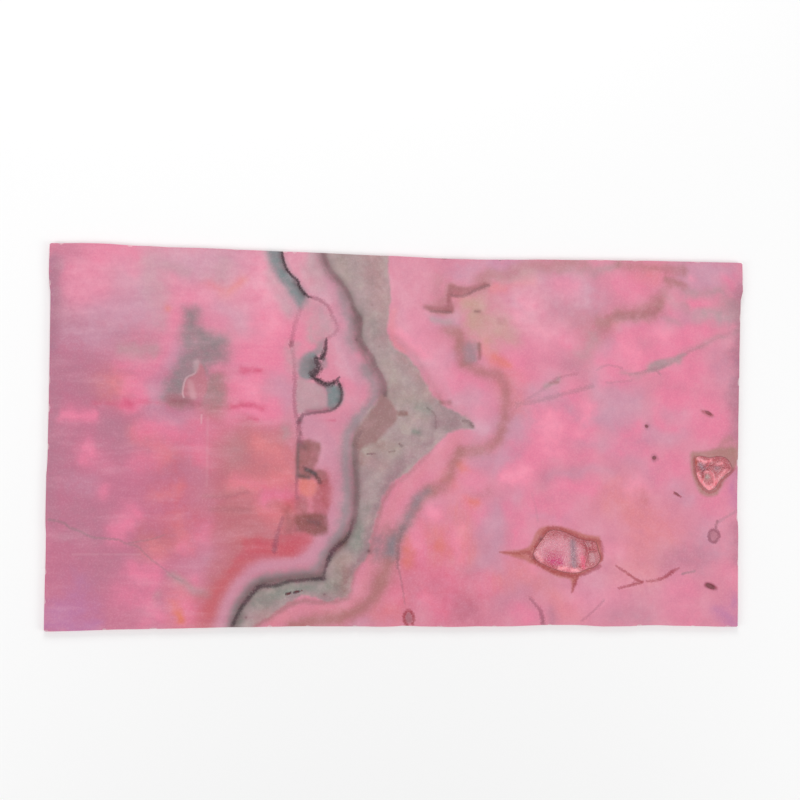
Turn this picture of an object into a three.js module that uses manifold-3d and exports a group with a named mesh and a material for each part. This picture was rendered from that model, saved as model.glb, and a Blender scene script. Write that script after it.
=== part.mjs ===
// A slab of banded pink onyx, sawn from a block and polished on its upper face.
//
// The slab lies on its sawn back: X runs along its length, Y across it, Z is up, and the origin is
// under its middle, on the surface it lies on. Its four edges are left as the block gave them, a
// little bowed and uneven, with flakes broken from the arrises. Two crystal-lined hollows, called
// vugs, and a few small pits open in the polished face. Each vug's lining is one crust of calcite,
// with thin partitions between its cells, and stands 0.4 mm clear of the stone. All sizes are in mm.
import * as THREE from "three";
import { mergeVertices } from "three/addons/utils/BufferGeometryUtils.js";
import Module from "manifold-3d";

const wasm = await Module();
wasm.setup();

// ---------------------------------------------------------------- driving dimensions

const LENGTH = 2704; // nominal rectangle that the edges wander about
const WIDTH = 1458;
const THICKNESS = 20;
const STATION = 36; // spacing of the outline's points
const CRUST_GAP = 0.45; // how far a crust stands above its vug's wall
const CLEAR_OF_FACE = 0.4; // nothing in a vug reaches nearer to the polished face than this

// ---------------------------------------------------------------- small tools

// A repeatable random number from 0 to 1.
function randomFrom(seed) {
  let state = seed;
  return () => {
    state = (Math.imul(state, 1664525) + 1013904223) >>> 0;
    return state / 4294967296;
  };
}

// Reads a list of [place, value] pairs at any place, easing from each pair to the next.
function easedValue(pairs, place) {
  if (place <= pairs[0][0]) return pairs[0][1];
  for (let i = 1; i < pairs.length; i++) {
    const [from, low] = pairs[i - 1];
    const [to, high] = pairs[i];
    if (place <= to) return THREE.MathUtils.lerp(low, high, THREE.MathUtils.smoothstep(place, from, to));
  }
  return pairs.at(-1)[1];
}

// A closed geometry from rings of equal length, the lowest first, each running anticlockwise.
function loft(rings) {
  const count = rings[0].length;
  const positions = rings.flat().flatMap((p) => [p.x, p.y, p.z]);
  const index = [];
  for (let r = 0; r + 1 < rings.length; r++) {
    for (let i = 0; i < count; i++) {
      const next = (i + 1) % count;
      const [a, b, c, d] = [r * count + i, r * count + next, (r + 1) * count + next, (r + 1) * count + i];
      index.push(a, b, c, a, c, d);
    }
  }
  for (const [ring, isTop] of [[0, false], [rings.length - 1, true]]) {
    const centre = positions.length / 3;
    const middle = rings[ring].reduce((sum, p) => sum.add(p), new THREE.Vector3()).divideScalar(count);
    positions.push(middle.x, middle.y, middle.z);
    for (let i = 0; i < count; i++) {
      const [near, far] = [ring * count + i, ring * count + ((i + 1) % count)];
      if (isTop) index.push(centre, near, far);
      else index.push(centre, far, near);
    }
  }
  const geometry = new THREE.BufferGeometry();
  geometry.setAttribute("position", new THREE.Float32BufferAttribute(positions, 3));
  geometry.setIndex(index);
  return geometry;
}

// A three.js geometry as a manifold-3d solid, for joining and cutting.
function solidOf(geometry) {
  const bare = new THREE.BufferGeometry();
  bare.setAttribute("position", geometry.getAttribute("position"));
  bare.setIndex(geometry.index);
  const merged = mergeVertices(bare, 1e-4);
  return new wasm.Manifold(
    new wasm.Mesh({
      numProp: 3,
      vertProperties: new Float32Array(merged.attributes.position.array),
      triVerts: new Uint32Array(merged.index.array),
    }),
  );
}

function geometryOf(solid) {
  const mesh = solid.getMesh();
  const geometry = new THREE.BufferGeometry();
  geometry.setAttribute("position", new THREE.BufferAttribute(new Float32Array(mesh.vertProperties), 3));
  geometry.setIndex(new THREE.BufferAttribute(new Uint32Array(mesh.triVerts), 1));
  return geometry;
}

// ---------------------------------------------------------------- the stone plate

// How far each edge lies inside the nominal rectangle, as [distance from the side's middle, inset].
const BOTTOM_EDGE = [
  [-1350, -1], [-1000, 6], [-620, 11], [-400, 13], [-200, 12], [-60, 9], [0, 13], [110, 9],
  [200, 7], [300, 9], [400, 8], [600, 13], [700, 12], [800, 5], [900, 6], [1000, 10], [1100, 6], [1350, 1],
];
const RIGHT_EDGE = [[-725, 0], [-500, 2], [-350, 3], [-250, 9], [0, 8], [300, 7], [585, 5], [615, -4], [725, -1]];
const TOP_EDGE = [
  [-1350, 0], [-1180, -4], [-1000, 1], [-900, 3], [-800, 2], [-600, 5], [-400, 7], [-100, 11],
  [200, 16], [300, 15], [400, 12], [600, 7], [800, 3], [1000, 0], [1350, -2],
];
const LEFT_EDGE = [[-725, 1], [-360, 3], [-340, 0], [-140, 0], [-90, 4], [300, 5], [545, 4], [600, -3], [725, -2]];

// Rings up the edge face: height, how far the ring stands in, and how rough it is.
const EDGE_RINGS = [
  { height: 0, inset: 2.2, rough: 0.7 },
  { height: 5, inset: 0.2, rough: 1.1 },
  { height: 14, inset: 0, rough: 1.2 },
  { height: THICKNESS, inset: 1.0, rough: 0.5 },
];

// Uneven breakage along the edge, a few millimetres from crest to crest.
function roughness(distance, ring) {
  const phase = 2.4 * ring;
  return 0.6 * Math.sin(distance / 47 + phase) + 0.4 * Math.sin(distance / 21.3 + 1.7 * phase);
}

// The outline at one height, anticlockwise from the bottom left corner.
function slabRing({ height, inset, rough }, ringNumber) {
  const [halfLength, halfWidth] = [LENGTH / 2, WIDTH / 2];
  const sides = [
    { along: LENGTH, place: (s, d) => [s - halfLength, d - halfWidth], edge: BOTTOM_EDGE, turn: 1 },
    { along: WIDTH, place: (s, d) => [halfLength - d, s - halfWidth], edge: RIGHT_EDGE, turn: 1 },
    { along: LENGTH, place: (s, d) => [halfLength - s, halfWidth - d], edge: TOP_EDGE, turn: -1 },
    { along: WIDTH, place: (s, d) => [d - halfLength, halfWidth - s], edge: LEFT_EDGE, turn: -1 },
  ];
  const cornerCut = 5; // the corners are knocked off by this much
  const ring = [];
  let travelled = 0;
  for (const { along, place, edge, turn } of sides) {
    const steps = Math.round(along / STATION);
    for (let i = 0; i < steps; i++) {
      const s = THREE.MathUtils.lerp(cornerCut, along - cornerCut, i / (steps - 1));
      const wander = easedValue(edge, turn * (s - along / 2));
      const [x, y] = place(s, inset + wander + rough * roughness(travelled + s, ringNumber));
      ring.push(new THREE.Vector3(x, y, height));
    }
    travelled += along;
  }
  return ring;
}

// Flakes broken from the arrises: each is a faceted lump taken out of the corner of the stone.
function edgeFlakes() {
  const random = randomFrom(7);
  const flakes = [];
  const ring = slabRing({ height: 0, inset: 0.6, rough: 0 }, 0);
  const flakeCount = 46;
  for (let n = 0; n < flakeCount; n++) {
    const place = Math.floor(((n + 0.8 * random()) / flakeCount) * ring.length) % ring.length;
    const here = ring[place];
    const ahead = ring[(place + 1) % ring.length];
    const onPolishedArris = n % 4 !== 3;
    const flake = new THREE.IcosahedronGeometry(1, 0);
    flake.rotateX(random() * Math.PI);
    flake.scale(8 + 15 * random(), 3.5 + 4 * random(), 2.2 + 3 * random());
    flake.rotateZ(Math.atan2(ahead.y - here.y, ahead.x - here.x) + 0.2 * (random() - 0.5));
    flake.translate(here.x, here.y, onPolishedArris ? THICKNESS : 0);
    flakes.push(solidOf(flake));
  }
  return flakes;
}

// Open pits in the polished face: middle, half length, half width, how far it is turned, depth.
const PITS = [
  { x: -440, y: -590, long: 9, wide: 4.5, turned: 10, deep: 4 },
  { x: -409, y: -582, long: 9, wide: 4, turned: 8, deep: 4 },
  { x: -390, y: -578, long: 4, wide: 3, turned: 0, deep: 2.5 },
  { x: 1218, y: 126, long: 17, wide: 7, turned: -28, deep: 4 },
  { x: 963, y: 70, long: 8, wide: 6, turned: -50, deep: 3 },
  { x: 997, y: -55, long: 9, wide: 8, turned: 0, deep: 3.5 },
  { x: 1092, y: -198, long: 15, wide: 5, turned: -35, deep: 3 },
  { x: 1235, y: -565, long: 21, wide: 10, turned: -25, deep: 5 },
];

function pitCutter({ x, y, long, wide, turned, deep }) {
  const bowl = new THREE.SphereGeometry(1, 10, 6);
  bowl.rotateX(Math.PI / 2);
  bowl.scale(long, wide, deep);
  bowl.rotateZ(THREE.MathUtils.degToRad(turned));
  bowl.translate(x, y, THICKNESS);
  return solidOf(bowl);
}

// ---------------------------------------------------------------- the vugs

// Each vug: its mouth in the polished face, anticlockwise, and the partitions between its cells.
const LONG_VUG = {
  name: "long_vug_crystals",
  seed: 21,
  depth: 12,
  mouth: [
    [510, -437], [528, -466], [560, -482], [600, -499], [650, -512], [700, -512], [735, -497], [768, -486],
    [787, -455], [776, -420], [768, -390], [730, -383], [690, -373], [650, -354], [605, -341], [568, -347],
    [553, -370], [528, -402],
  ],
  partitions: [
    [[716, -384], [733, -410], [733, -440], [722, -468], [716, -498]],
    [[733, -424], [752, -422], [774, -426]],
  ],
  crystals: 36,
};
const EDGE_VUG = {
  name: "edge_vug_crystals",
  seed: 33,
  depth: 12,
  mouth: [
    [1164, -70], [1168, -105], [1178, -140], [1200, -170], [1228, -187], [1252, -173], [1272, -141], [1298, -118],
    [1321, -101], [1314, -74], [1291, -50], [1258, -45], [1225, -51], [1193, -45], [1167, -48],
  ],
  partitions: [
    [[1168, -112], [1192, -104], [1212, -92], [1226, -78], [1232, -52]],
    [[1212, -92], [1206, -118], [1204, -142], [1196, -162]],
    [[1214, -92], [1232, -104], [1246, -124], [1248, -150], [1246, -172]],
    [[1226, -78], [1250, -84], [1276, -86], [1308, -88]],
  ],
  crystals: 32,
};

const SPOKES = 36; // points round a vug's outline
// Share of the way from the vug's middle to its mouth, and share of the full depth there.
const BOWL = [[0.35, 1], [0.72, 0.96], [0.82, 0.84], [0.92, 0.46], [1, 0]];

function outlineOf(mouth) {
  const corners = mouth.map(([x, y]) => new THREE.Vector3(x, y, 0));
  const curve = new THREE.CatmullRomCurve3(corners, true, "centripetal");
  return curve.getSpacedPoints(SPOKES).slice(0, SPOKES);
}

function middleOf(outline) {
  return outline.reduce((sum, p) => sum.add(p), new THREE.Vector3()).divideScalar(outline.length);
}

// The bowl's ring at a share of the way to the mouth, at a given height.
function bowlRing(outline, share, height) {
  const middle = middleOf(outline);
  return outline.map((p) => new THREE.Vector3().lerpVectors(middle, p, share).setZ(height));
}

// Height of the bowl's wall at a share of the way to the mouth.
function bowlHeight(share, depth) {
  for (let i = 1; i < BOWL.length; i++) {
    const [inner, low] = BOWL[i - 1];
    const [outer, high] = BOWL[i];
    if (share <= outer) {
      const between = Math.max(0, (share - inner) / (outer - inner));
      return THICKNESS - depth * THREE.MathUtils.lerp(low, high, between);
    }
  }
  return THICKNESS;
}

function vugCutter({ mouth, depth }) {
  const outline = outlineOf(mouth);
  const above = 2; // the cutter runs this far out of the polished face
  const rings = BOWL.map(([share]) => bowlRing(outline, share, bowlHeight(share, depth)));
  return solidOf(loft([...rings, bowlRing(outline, 1, THICKNESS + above)]));
}

// A thin wall of calcite between two cells, standing on the vug's floor, sharper at its crest.
function partition(points, floor, crest) {
  const curve = new THREE.CatmullRomCurve3(points.map(([x, y]) => new THREE.Vector3(x, y, 0)), false, "centripetal");
  const [footWidth, crestWidth, steps] = [9, 2.4, 5];
  const rings = [];
  for (let i = 0; i <= steps; i++) {
    const p = curve.getPoint(i / steps);
    const t = curve.getTangent(i / steps);
    const side = new THREE.Vector3(-t.y, t.x, 0);
    const dip = 1.2 * Math.sin(1.9 * i); // the crest rises and falls a little
    const corner = (width, height) => p.clone().addScaledVector(side, width).setZ(height);
    rings.push([
      corner(-footWidth / 2, floor),
      corner(footWidth / 2, floor),
      corner(crestWidth / 2, crest - Math.abs(dip)),
      corner(-crestWidth / 2, crest - Math.abs(dip)),
    ]);
  }
  return solidOf(loft(rings));
}

// A six-sided calcite point, leaning away from the upright.
function crystal(x, y, foot, radius, tall, lean, heading) {
  const point = new THREE.ConeGeometry(radius, tall, 6);
  point.rotateX(Math.PI / 2);
  point.translate(0, 0, tall / 2);
  point.rotateY(lean);
  point.rotateZ(heading);
  point.translate(x, y, foot);
  return solidOf(point);
}

// The lining of one vug: a shell on the bowl's wall, its partitions, and points on both, as one solid.
function crust({ name, seed, depth, mouth, partitions, crystals }) {
  const random = randomFrom(seed);
  const outline = outlineOf(mouth);
  const middle = middleOf(outline);
  const rim = 0.97; // the lining stops short of the mouth
  const shares = [0.35, 0.72, 0.82, 0.92, rim];
  const under = shares.map((share) => bowlRing(outline, share, bowlHeight(share, depth) + CRUST_GAP));
  const skin = 1.3;
  const over = shares.map((share) =>
    bowlRing(outline, share * 0.985, bowlHeight(share, depth) + CRUST_GAP).map((p) => {
      const lump = share < rim ? skin + 1.3 * random() : 0.25;
      return p.setZ(p.z + lump);
    }),
  );
  let lining = solidOf(loft([...under, ...over.reverse()]));
  const lid = THICKNESS - CLEAR_OF_FACE;
  for (const points of partitions) {
    lining = lining.add(partition(points, THICKNESS - depth + 1.2, lid));
  }
  for (let n = 0; n < crystals; n++) {
    const spoke = outline[Math.floor(random() * SPOKES)];
    const share = 0.6 + 0.3 * random();
    const place = new THREE.Vector3().lerpVectors(middle, spoke, share);
    const foot = bowlHeight(share, depth) + CRUST_GAP + 0.6;
    const tall = Math.min(4 + 4 * random(), lid - foot);
    const inward = Math.atan2(middle.y - place.y, middle.x - place.x);
    lining = lining.add(crystal(place.x, place.y, foot, 2.6 + 2.4 * random(), tall, 0.5 * random(), inward));
  }
  // Whatever strays into the stone or above the face is trimmed off.
  const space = shares.map((share) => bowlRing(outline, share, bowlHeight(share, depth) + CRUST_GAP));
  const room = solidOf(loft([...space, bowlRing(outline, rim, lid)]));
  lining = lining.intersect(room);
  const pieces = lining.decompose().sort((a, b) => b.volume() - a.volume());
  const calcite = new THREE.MeshStandardMaterial({ color: 0xd98a98, roughness: 0.25, metalness: 0 });
  const mesh = new THREE.Mesh(geometryOf(pieces[0]), calcite);
  mesh.name = name;
  return mesh;
}

// ---------------------------------------------------------------- the object

let stone = solidOf(loft(EDGE_RINGS.map(slabRing)));
for (const cutter of [...edgeFlakes(), ...PITS.map(pitCutter), ...[LONG_VUG, EDGE_VUG].map(vugCutter)]) {
  stone = stone.subtract(cutter);
}
const slab = new THREE.Mesh(
  geometryOf(stone),
  new THREE.MeshStandardMaterial({ color: 0xdb88a2, roughness: 0.12, metalness: 0 }),
);
slab.name = "onyx_slab";

const object = new THREE.Group();
object.add(slab, crust(LONG_VUG), crust(EDGE_VUG));

// The uneven edges put the outline's middle a little off the rectangle's: the origin goes under it.
const { min, max } = stone.boundingBox();
object.position.set(-(min[0] + max[0]) / 2, -(min[1] + max[1]) / 2, 0);

export default object;
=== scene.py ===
import math

import bmesh
import bpy
import numpy as np
from mathutils import Matrix, Vector, kdtree, noise
from mathutils.geometry import delaunay_2d_cdt


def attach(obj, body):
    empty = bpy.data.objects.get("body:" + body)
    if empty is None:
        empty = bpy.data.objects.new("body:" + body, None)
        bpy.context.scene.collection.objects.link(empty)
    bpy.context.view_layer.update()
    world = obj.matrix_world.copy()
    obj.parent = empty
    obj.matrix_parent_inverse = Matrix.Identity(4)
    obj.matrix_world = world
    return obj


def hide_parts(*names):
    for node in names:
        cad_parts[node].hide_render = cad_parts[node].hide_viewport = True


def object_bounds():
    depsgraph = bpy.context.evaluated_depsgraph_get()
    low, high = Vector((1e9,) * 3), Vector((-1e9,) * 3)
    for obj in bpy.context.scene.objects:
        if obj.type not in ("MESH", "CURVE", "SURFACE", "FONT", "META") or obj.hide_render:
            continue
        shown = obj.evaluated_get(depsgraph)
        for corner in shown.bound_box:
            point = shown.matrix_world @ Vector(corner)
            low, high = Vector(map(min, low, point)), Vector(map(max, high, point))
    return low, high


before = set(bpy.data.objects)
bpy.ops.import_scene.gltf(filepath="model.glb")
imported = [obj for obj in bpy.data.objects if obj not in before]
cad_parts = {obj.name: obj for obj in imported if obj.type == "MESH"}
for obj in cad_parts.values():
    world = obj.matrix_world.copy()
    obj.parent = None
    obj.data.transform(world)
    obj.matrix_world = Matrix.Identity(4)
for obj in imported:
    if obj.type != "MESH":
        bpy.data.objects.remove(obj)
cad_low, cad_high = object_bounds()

# ------------------------------------------------------------------------------------------
# Camera: above the slab, which lies on its back with the polished face up. It stands a little
# left of the middle and leans back to it, as a person does who looks along the stone.
# ------------------------------------------------------------------------------------------

POLISHED_FACE = cad_high.z
PATTERN_MIDDLE = Vector((-0.00048, -0.00123, POLISHED_FACE))  # the markings are placed from here

eye = PATTERN_MIDDLE + Vector((-0.4754, 0.1252, 4.2840))
aim = PATTERN_MIDDLE + Vector((-0.0214, 0.1590, 0))
picture_up = Vector((-0.01556, 0.99986, 0.00625))

lens = bpy.data.cameras.new("camera")
lens.lens = 50
lens.sensor_width = 36
camera = bpy.data.objects.new("camera", lens)
bpy.context.scene.collection.objects.link(camera)
back = (eye - aim).normalized()
right = picture_up.cross(back).normalized()
facing_back = Matrix((right, back.cross(right), back)).transposed()
camera.matrix_world = Matrix.Translation(eye) @ facing_back.to_4x4()
bpy.context.scene.camera = camera

# ------------------------------------------------------------------------------------------
# The stone: a plate of banded onyx, which is calcite laid down in layers by a spring. It was
# gang-sawn from a block and its upper face ground and polished; the back keeps the saw's marks,
# and the edges are as the block broke. Its mesh follows the frame's solid, with a finer skin.
# ------------------------------------------------------------------------------------------

# --- where the markings lie -----------------------------------------------------------------
# Places are in centimetres from the middle of the polished face.

WAVES = 7
SHORTEST_WAVE, LONGEST_WAVE = 0.6, 1.5  # to the wavelength asked for
SWING_OF_WAVES = 2.6  # how far so many waves swing together, where each alone swings by 1


def wander(x, y, wavelength, reach, seed):
    """A smooth sideways drift, so that soft clouds don't keep the shape of the strokes that lay them."""
    draw = np.random.default_rng(seed)
    total = np.zeros(x.shape)
    for _ in range(WAVES):
        heading, turn = draw.uniform(0, 2 * math.pi, 2)
        rate = 2 * math.pi / (wavelength * draw.uniform(SHORTEST_WAVE, LONGEST_WAVE))
        total += np.sin((x * math.cos(heading) + y * math.sin(heading)) * rate + turn)
    return total * reach / SWING_OF_WAVES


def smooth_step(value, low, high):
    """0 below low, 1 above high, eased between."""
    t = np.clip((value - low) / (high - low), 0.0, 1.0)
    return t * t * (3.0 - 2.0 * t)


def flowing(points, closed=False, per_span=3):
    """Given points joined by a smooth curve that passes through each of them."""
    p = np.array(points, float)
    before, after = (np.roll(p, 1, 0), np.roll(p, -1, 0)) if closed else (
        np.vstack([p[:1], p[:-1]]), np.vstack([p[1:], p[-1:]]))
    slope = (after - before) / 2
    spans = len(p) if closed else len(p) - 1
    made = []
    for i in range(spans):
        j = (i + 1) % len(p)
        for t in np.arange(per_span) / per_span:
            made.append((2 * t**3 - 3 * t**2 + 1) * p[i] + (t**3 - 2 * t**2 + t) * slope[i]
                        + (3 * t**2 - 2 * t**3) * p[j] + (t**3 - t**2) * slope[j])
    if not closed:
        made.append(p[-1])
    return np.array(made)


def across(x, y, path, closed=False):
    """The distance of each place to a path, and how far along the path its nearest point is."""
    ends = np.vstack([path, path[:1]]) if closed else path
    best = np.full(x.shape, np.inf)
    along = np.zeros(x.shape)
    spans = len(ends) - 1
    for i, (a, b) in enumerate(zip(ends[:-1], ends[1:])):
        run = b - a
        t = np.clip(((x - a[0]) * run[0] + (y - a[1]) * run[1]) / max(run @ run, 1e-9), 0.0, 1.0)
        dx, dy = x - a[0] - t * run[0], y - a[1] - t * run[1]
        gap = dx * dx + dy * dy
        nearer = gap < best
        best = np.where(nearer, gap, best)
        along = np.where(nearer, (i + t) / spans, along)
    return np.sqrt(best), along


def depth_inside(x, y, outline):
    """Distance to a closed outline, positive inside it."""
    inside = np.zeros(x.shape, bool)
    for (ax, ay), (bx, by) in zip(outline, np.roll(outline, -1, 0)):
        crosses = (ay > y) != (by > y)
        inside ^= crosses & (x < (bx - ax) * (y - ay) / (by - ay + 1e-12) + ax)
    return across(x, y, outline, closed=True)[0] * np.where(inside, 1, -1)


FADE = 1.2  # how soon a stroke thins out across its reach
DOT = 0.01  # a stroke of one point is drawn this long


def stained(x, y, strokes):
    """How strongly soft strokes of one stain cover each place.
    Each stroke is its strength, its reach and its points."""
    bare = np.ones(x.shape)
    for strength, reach, points in strokes:
        path = np.array(points, float)
        if len(path) == 1:
            path = np.vstack([path, path + DOT])
        gap = across(x, y, path)[0]
        bare *= 1 - strength * np.exp(-FADE * (gap / reach) ** 2)
    return 1 - bare


FAR_AWAY = 9.0  # in half widths of a line


def drawn(x, y, lines):
    """How far each place is from the nearest line of one colour, in half widths, and its strength there.
    Each line is its half width at both ends, its strength at both ends, and its points."""
    away = np.full(x.shape, FAR_AWAY)
    strength_there = np.zeros(x.shape)
    for (width_0, width_1), (strength_0, strength_1), points in lines:
        gap, along = across(x, y, flowing(points))
        widths_away = gap / (width_0 + (width_1 - width_0) * along)
        closer = widths_away < away
        away = np.where(closer, widths_away, away)
        strength_there = np.where(closer, strength_0 + (strength_1 - strength_0) * along, strength_there)
    return away, strength_there


def patched(x, y, patches):
    """How strongly patches of one colour cover each place.
    Each patch is its strength, the softness of its edge, and its outline."""
    bare = np.ones(x.shape)
    for strength, softness, outline in patches:
        depth = depth_inside(x, y, flowing(outline, closed=True, per_span=2))
        bare *= 1 - strength * smooth_step(depth, -softness, softness)
    return 1 - bare


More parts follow.
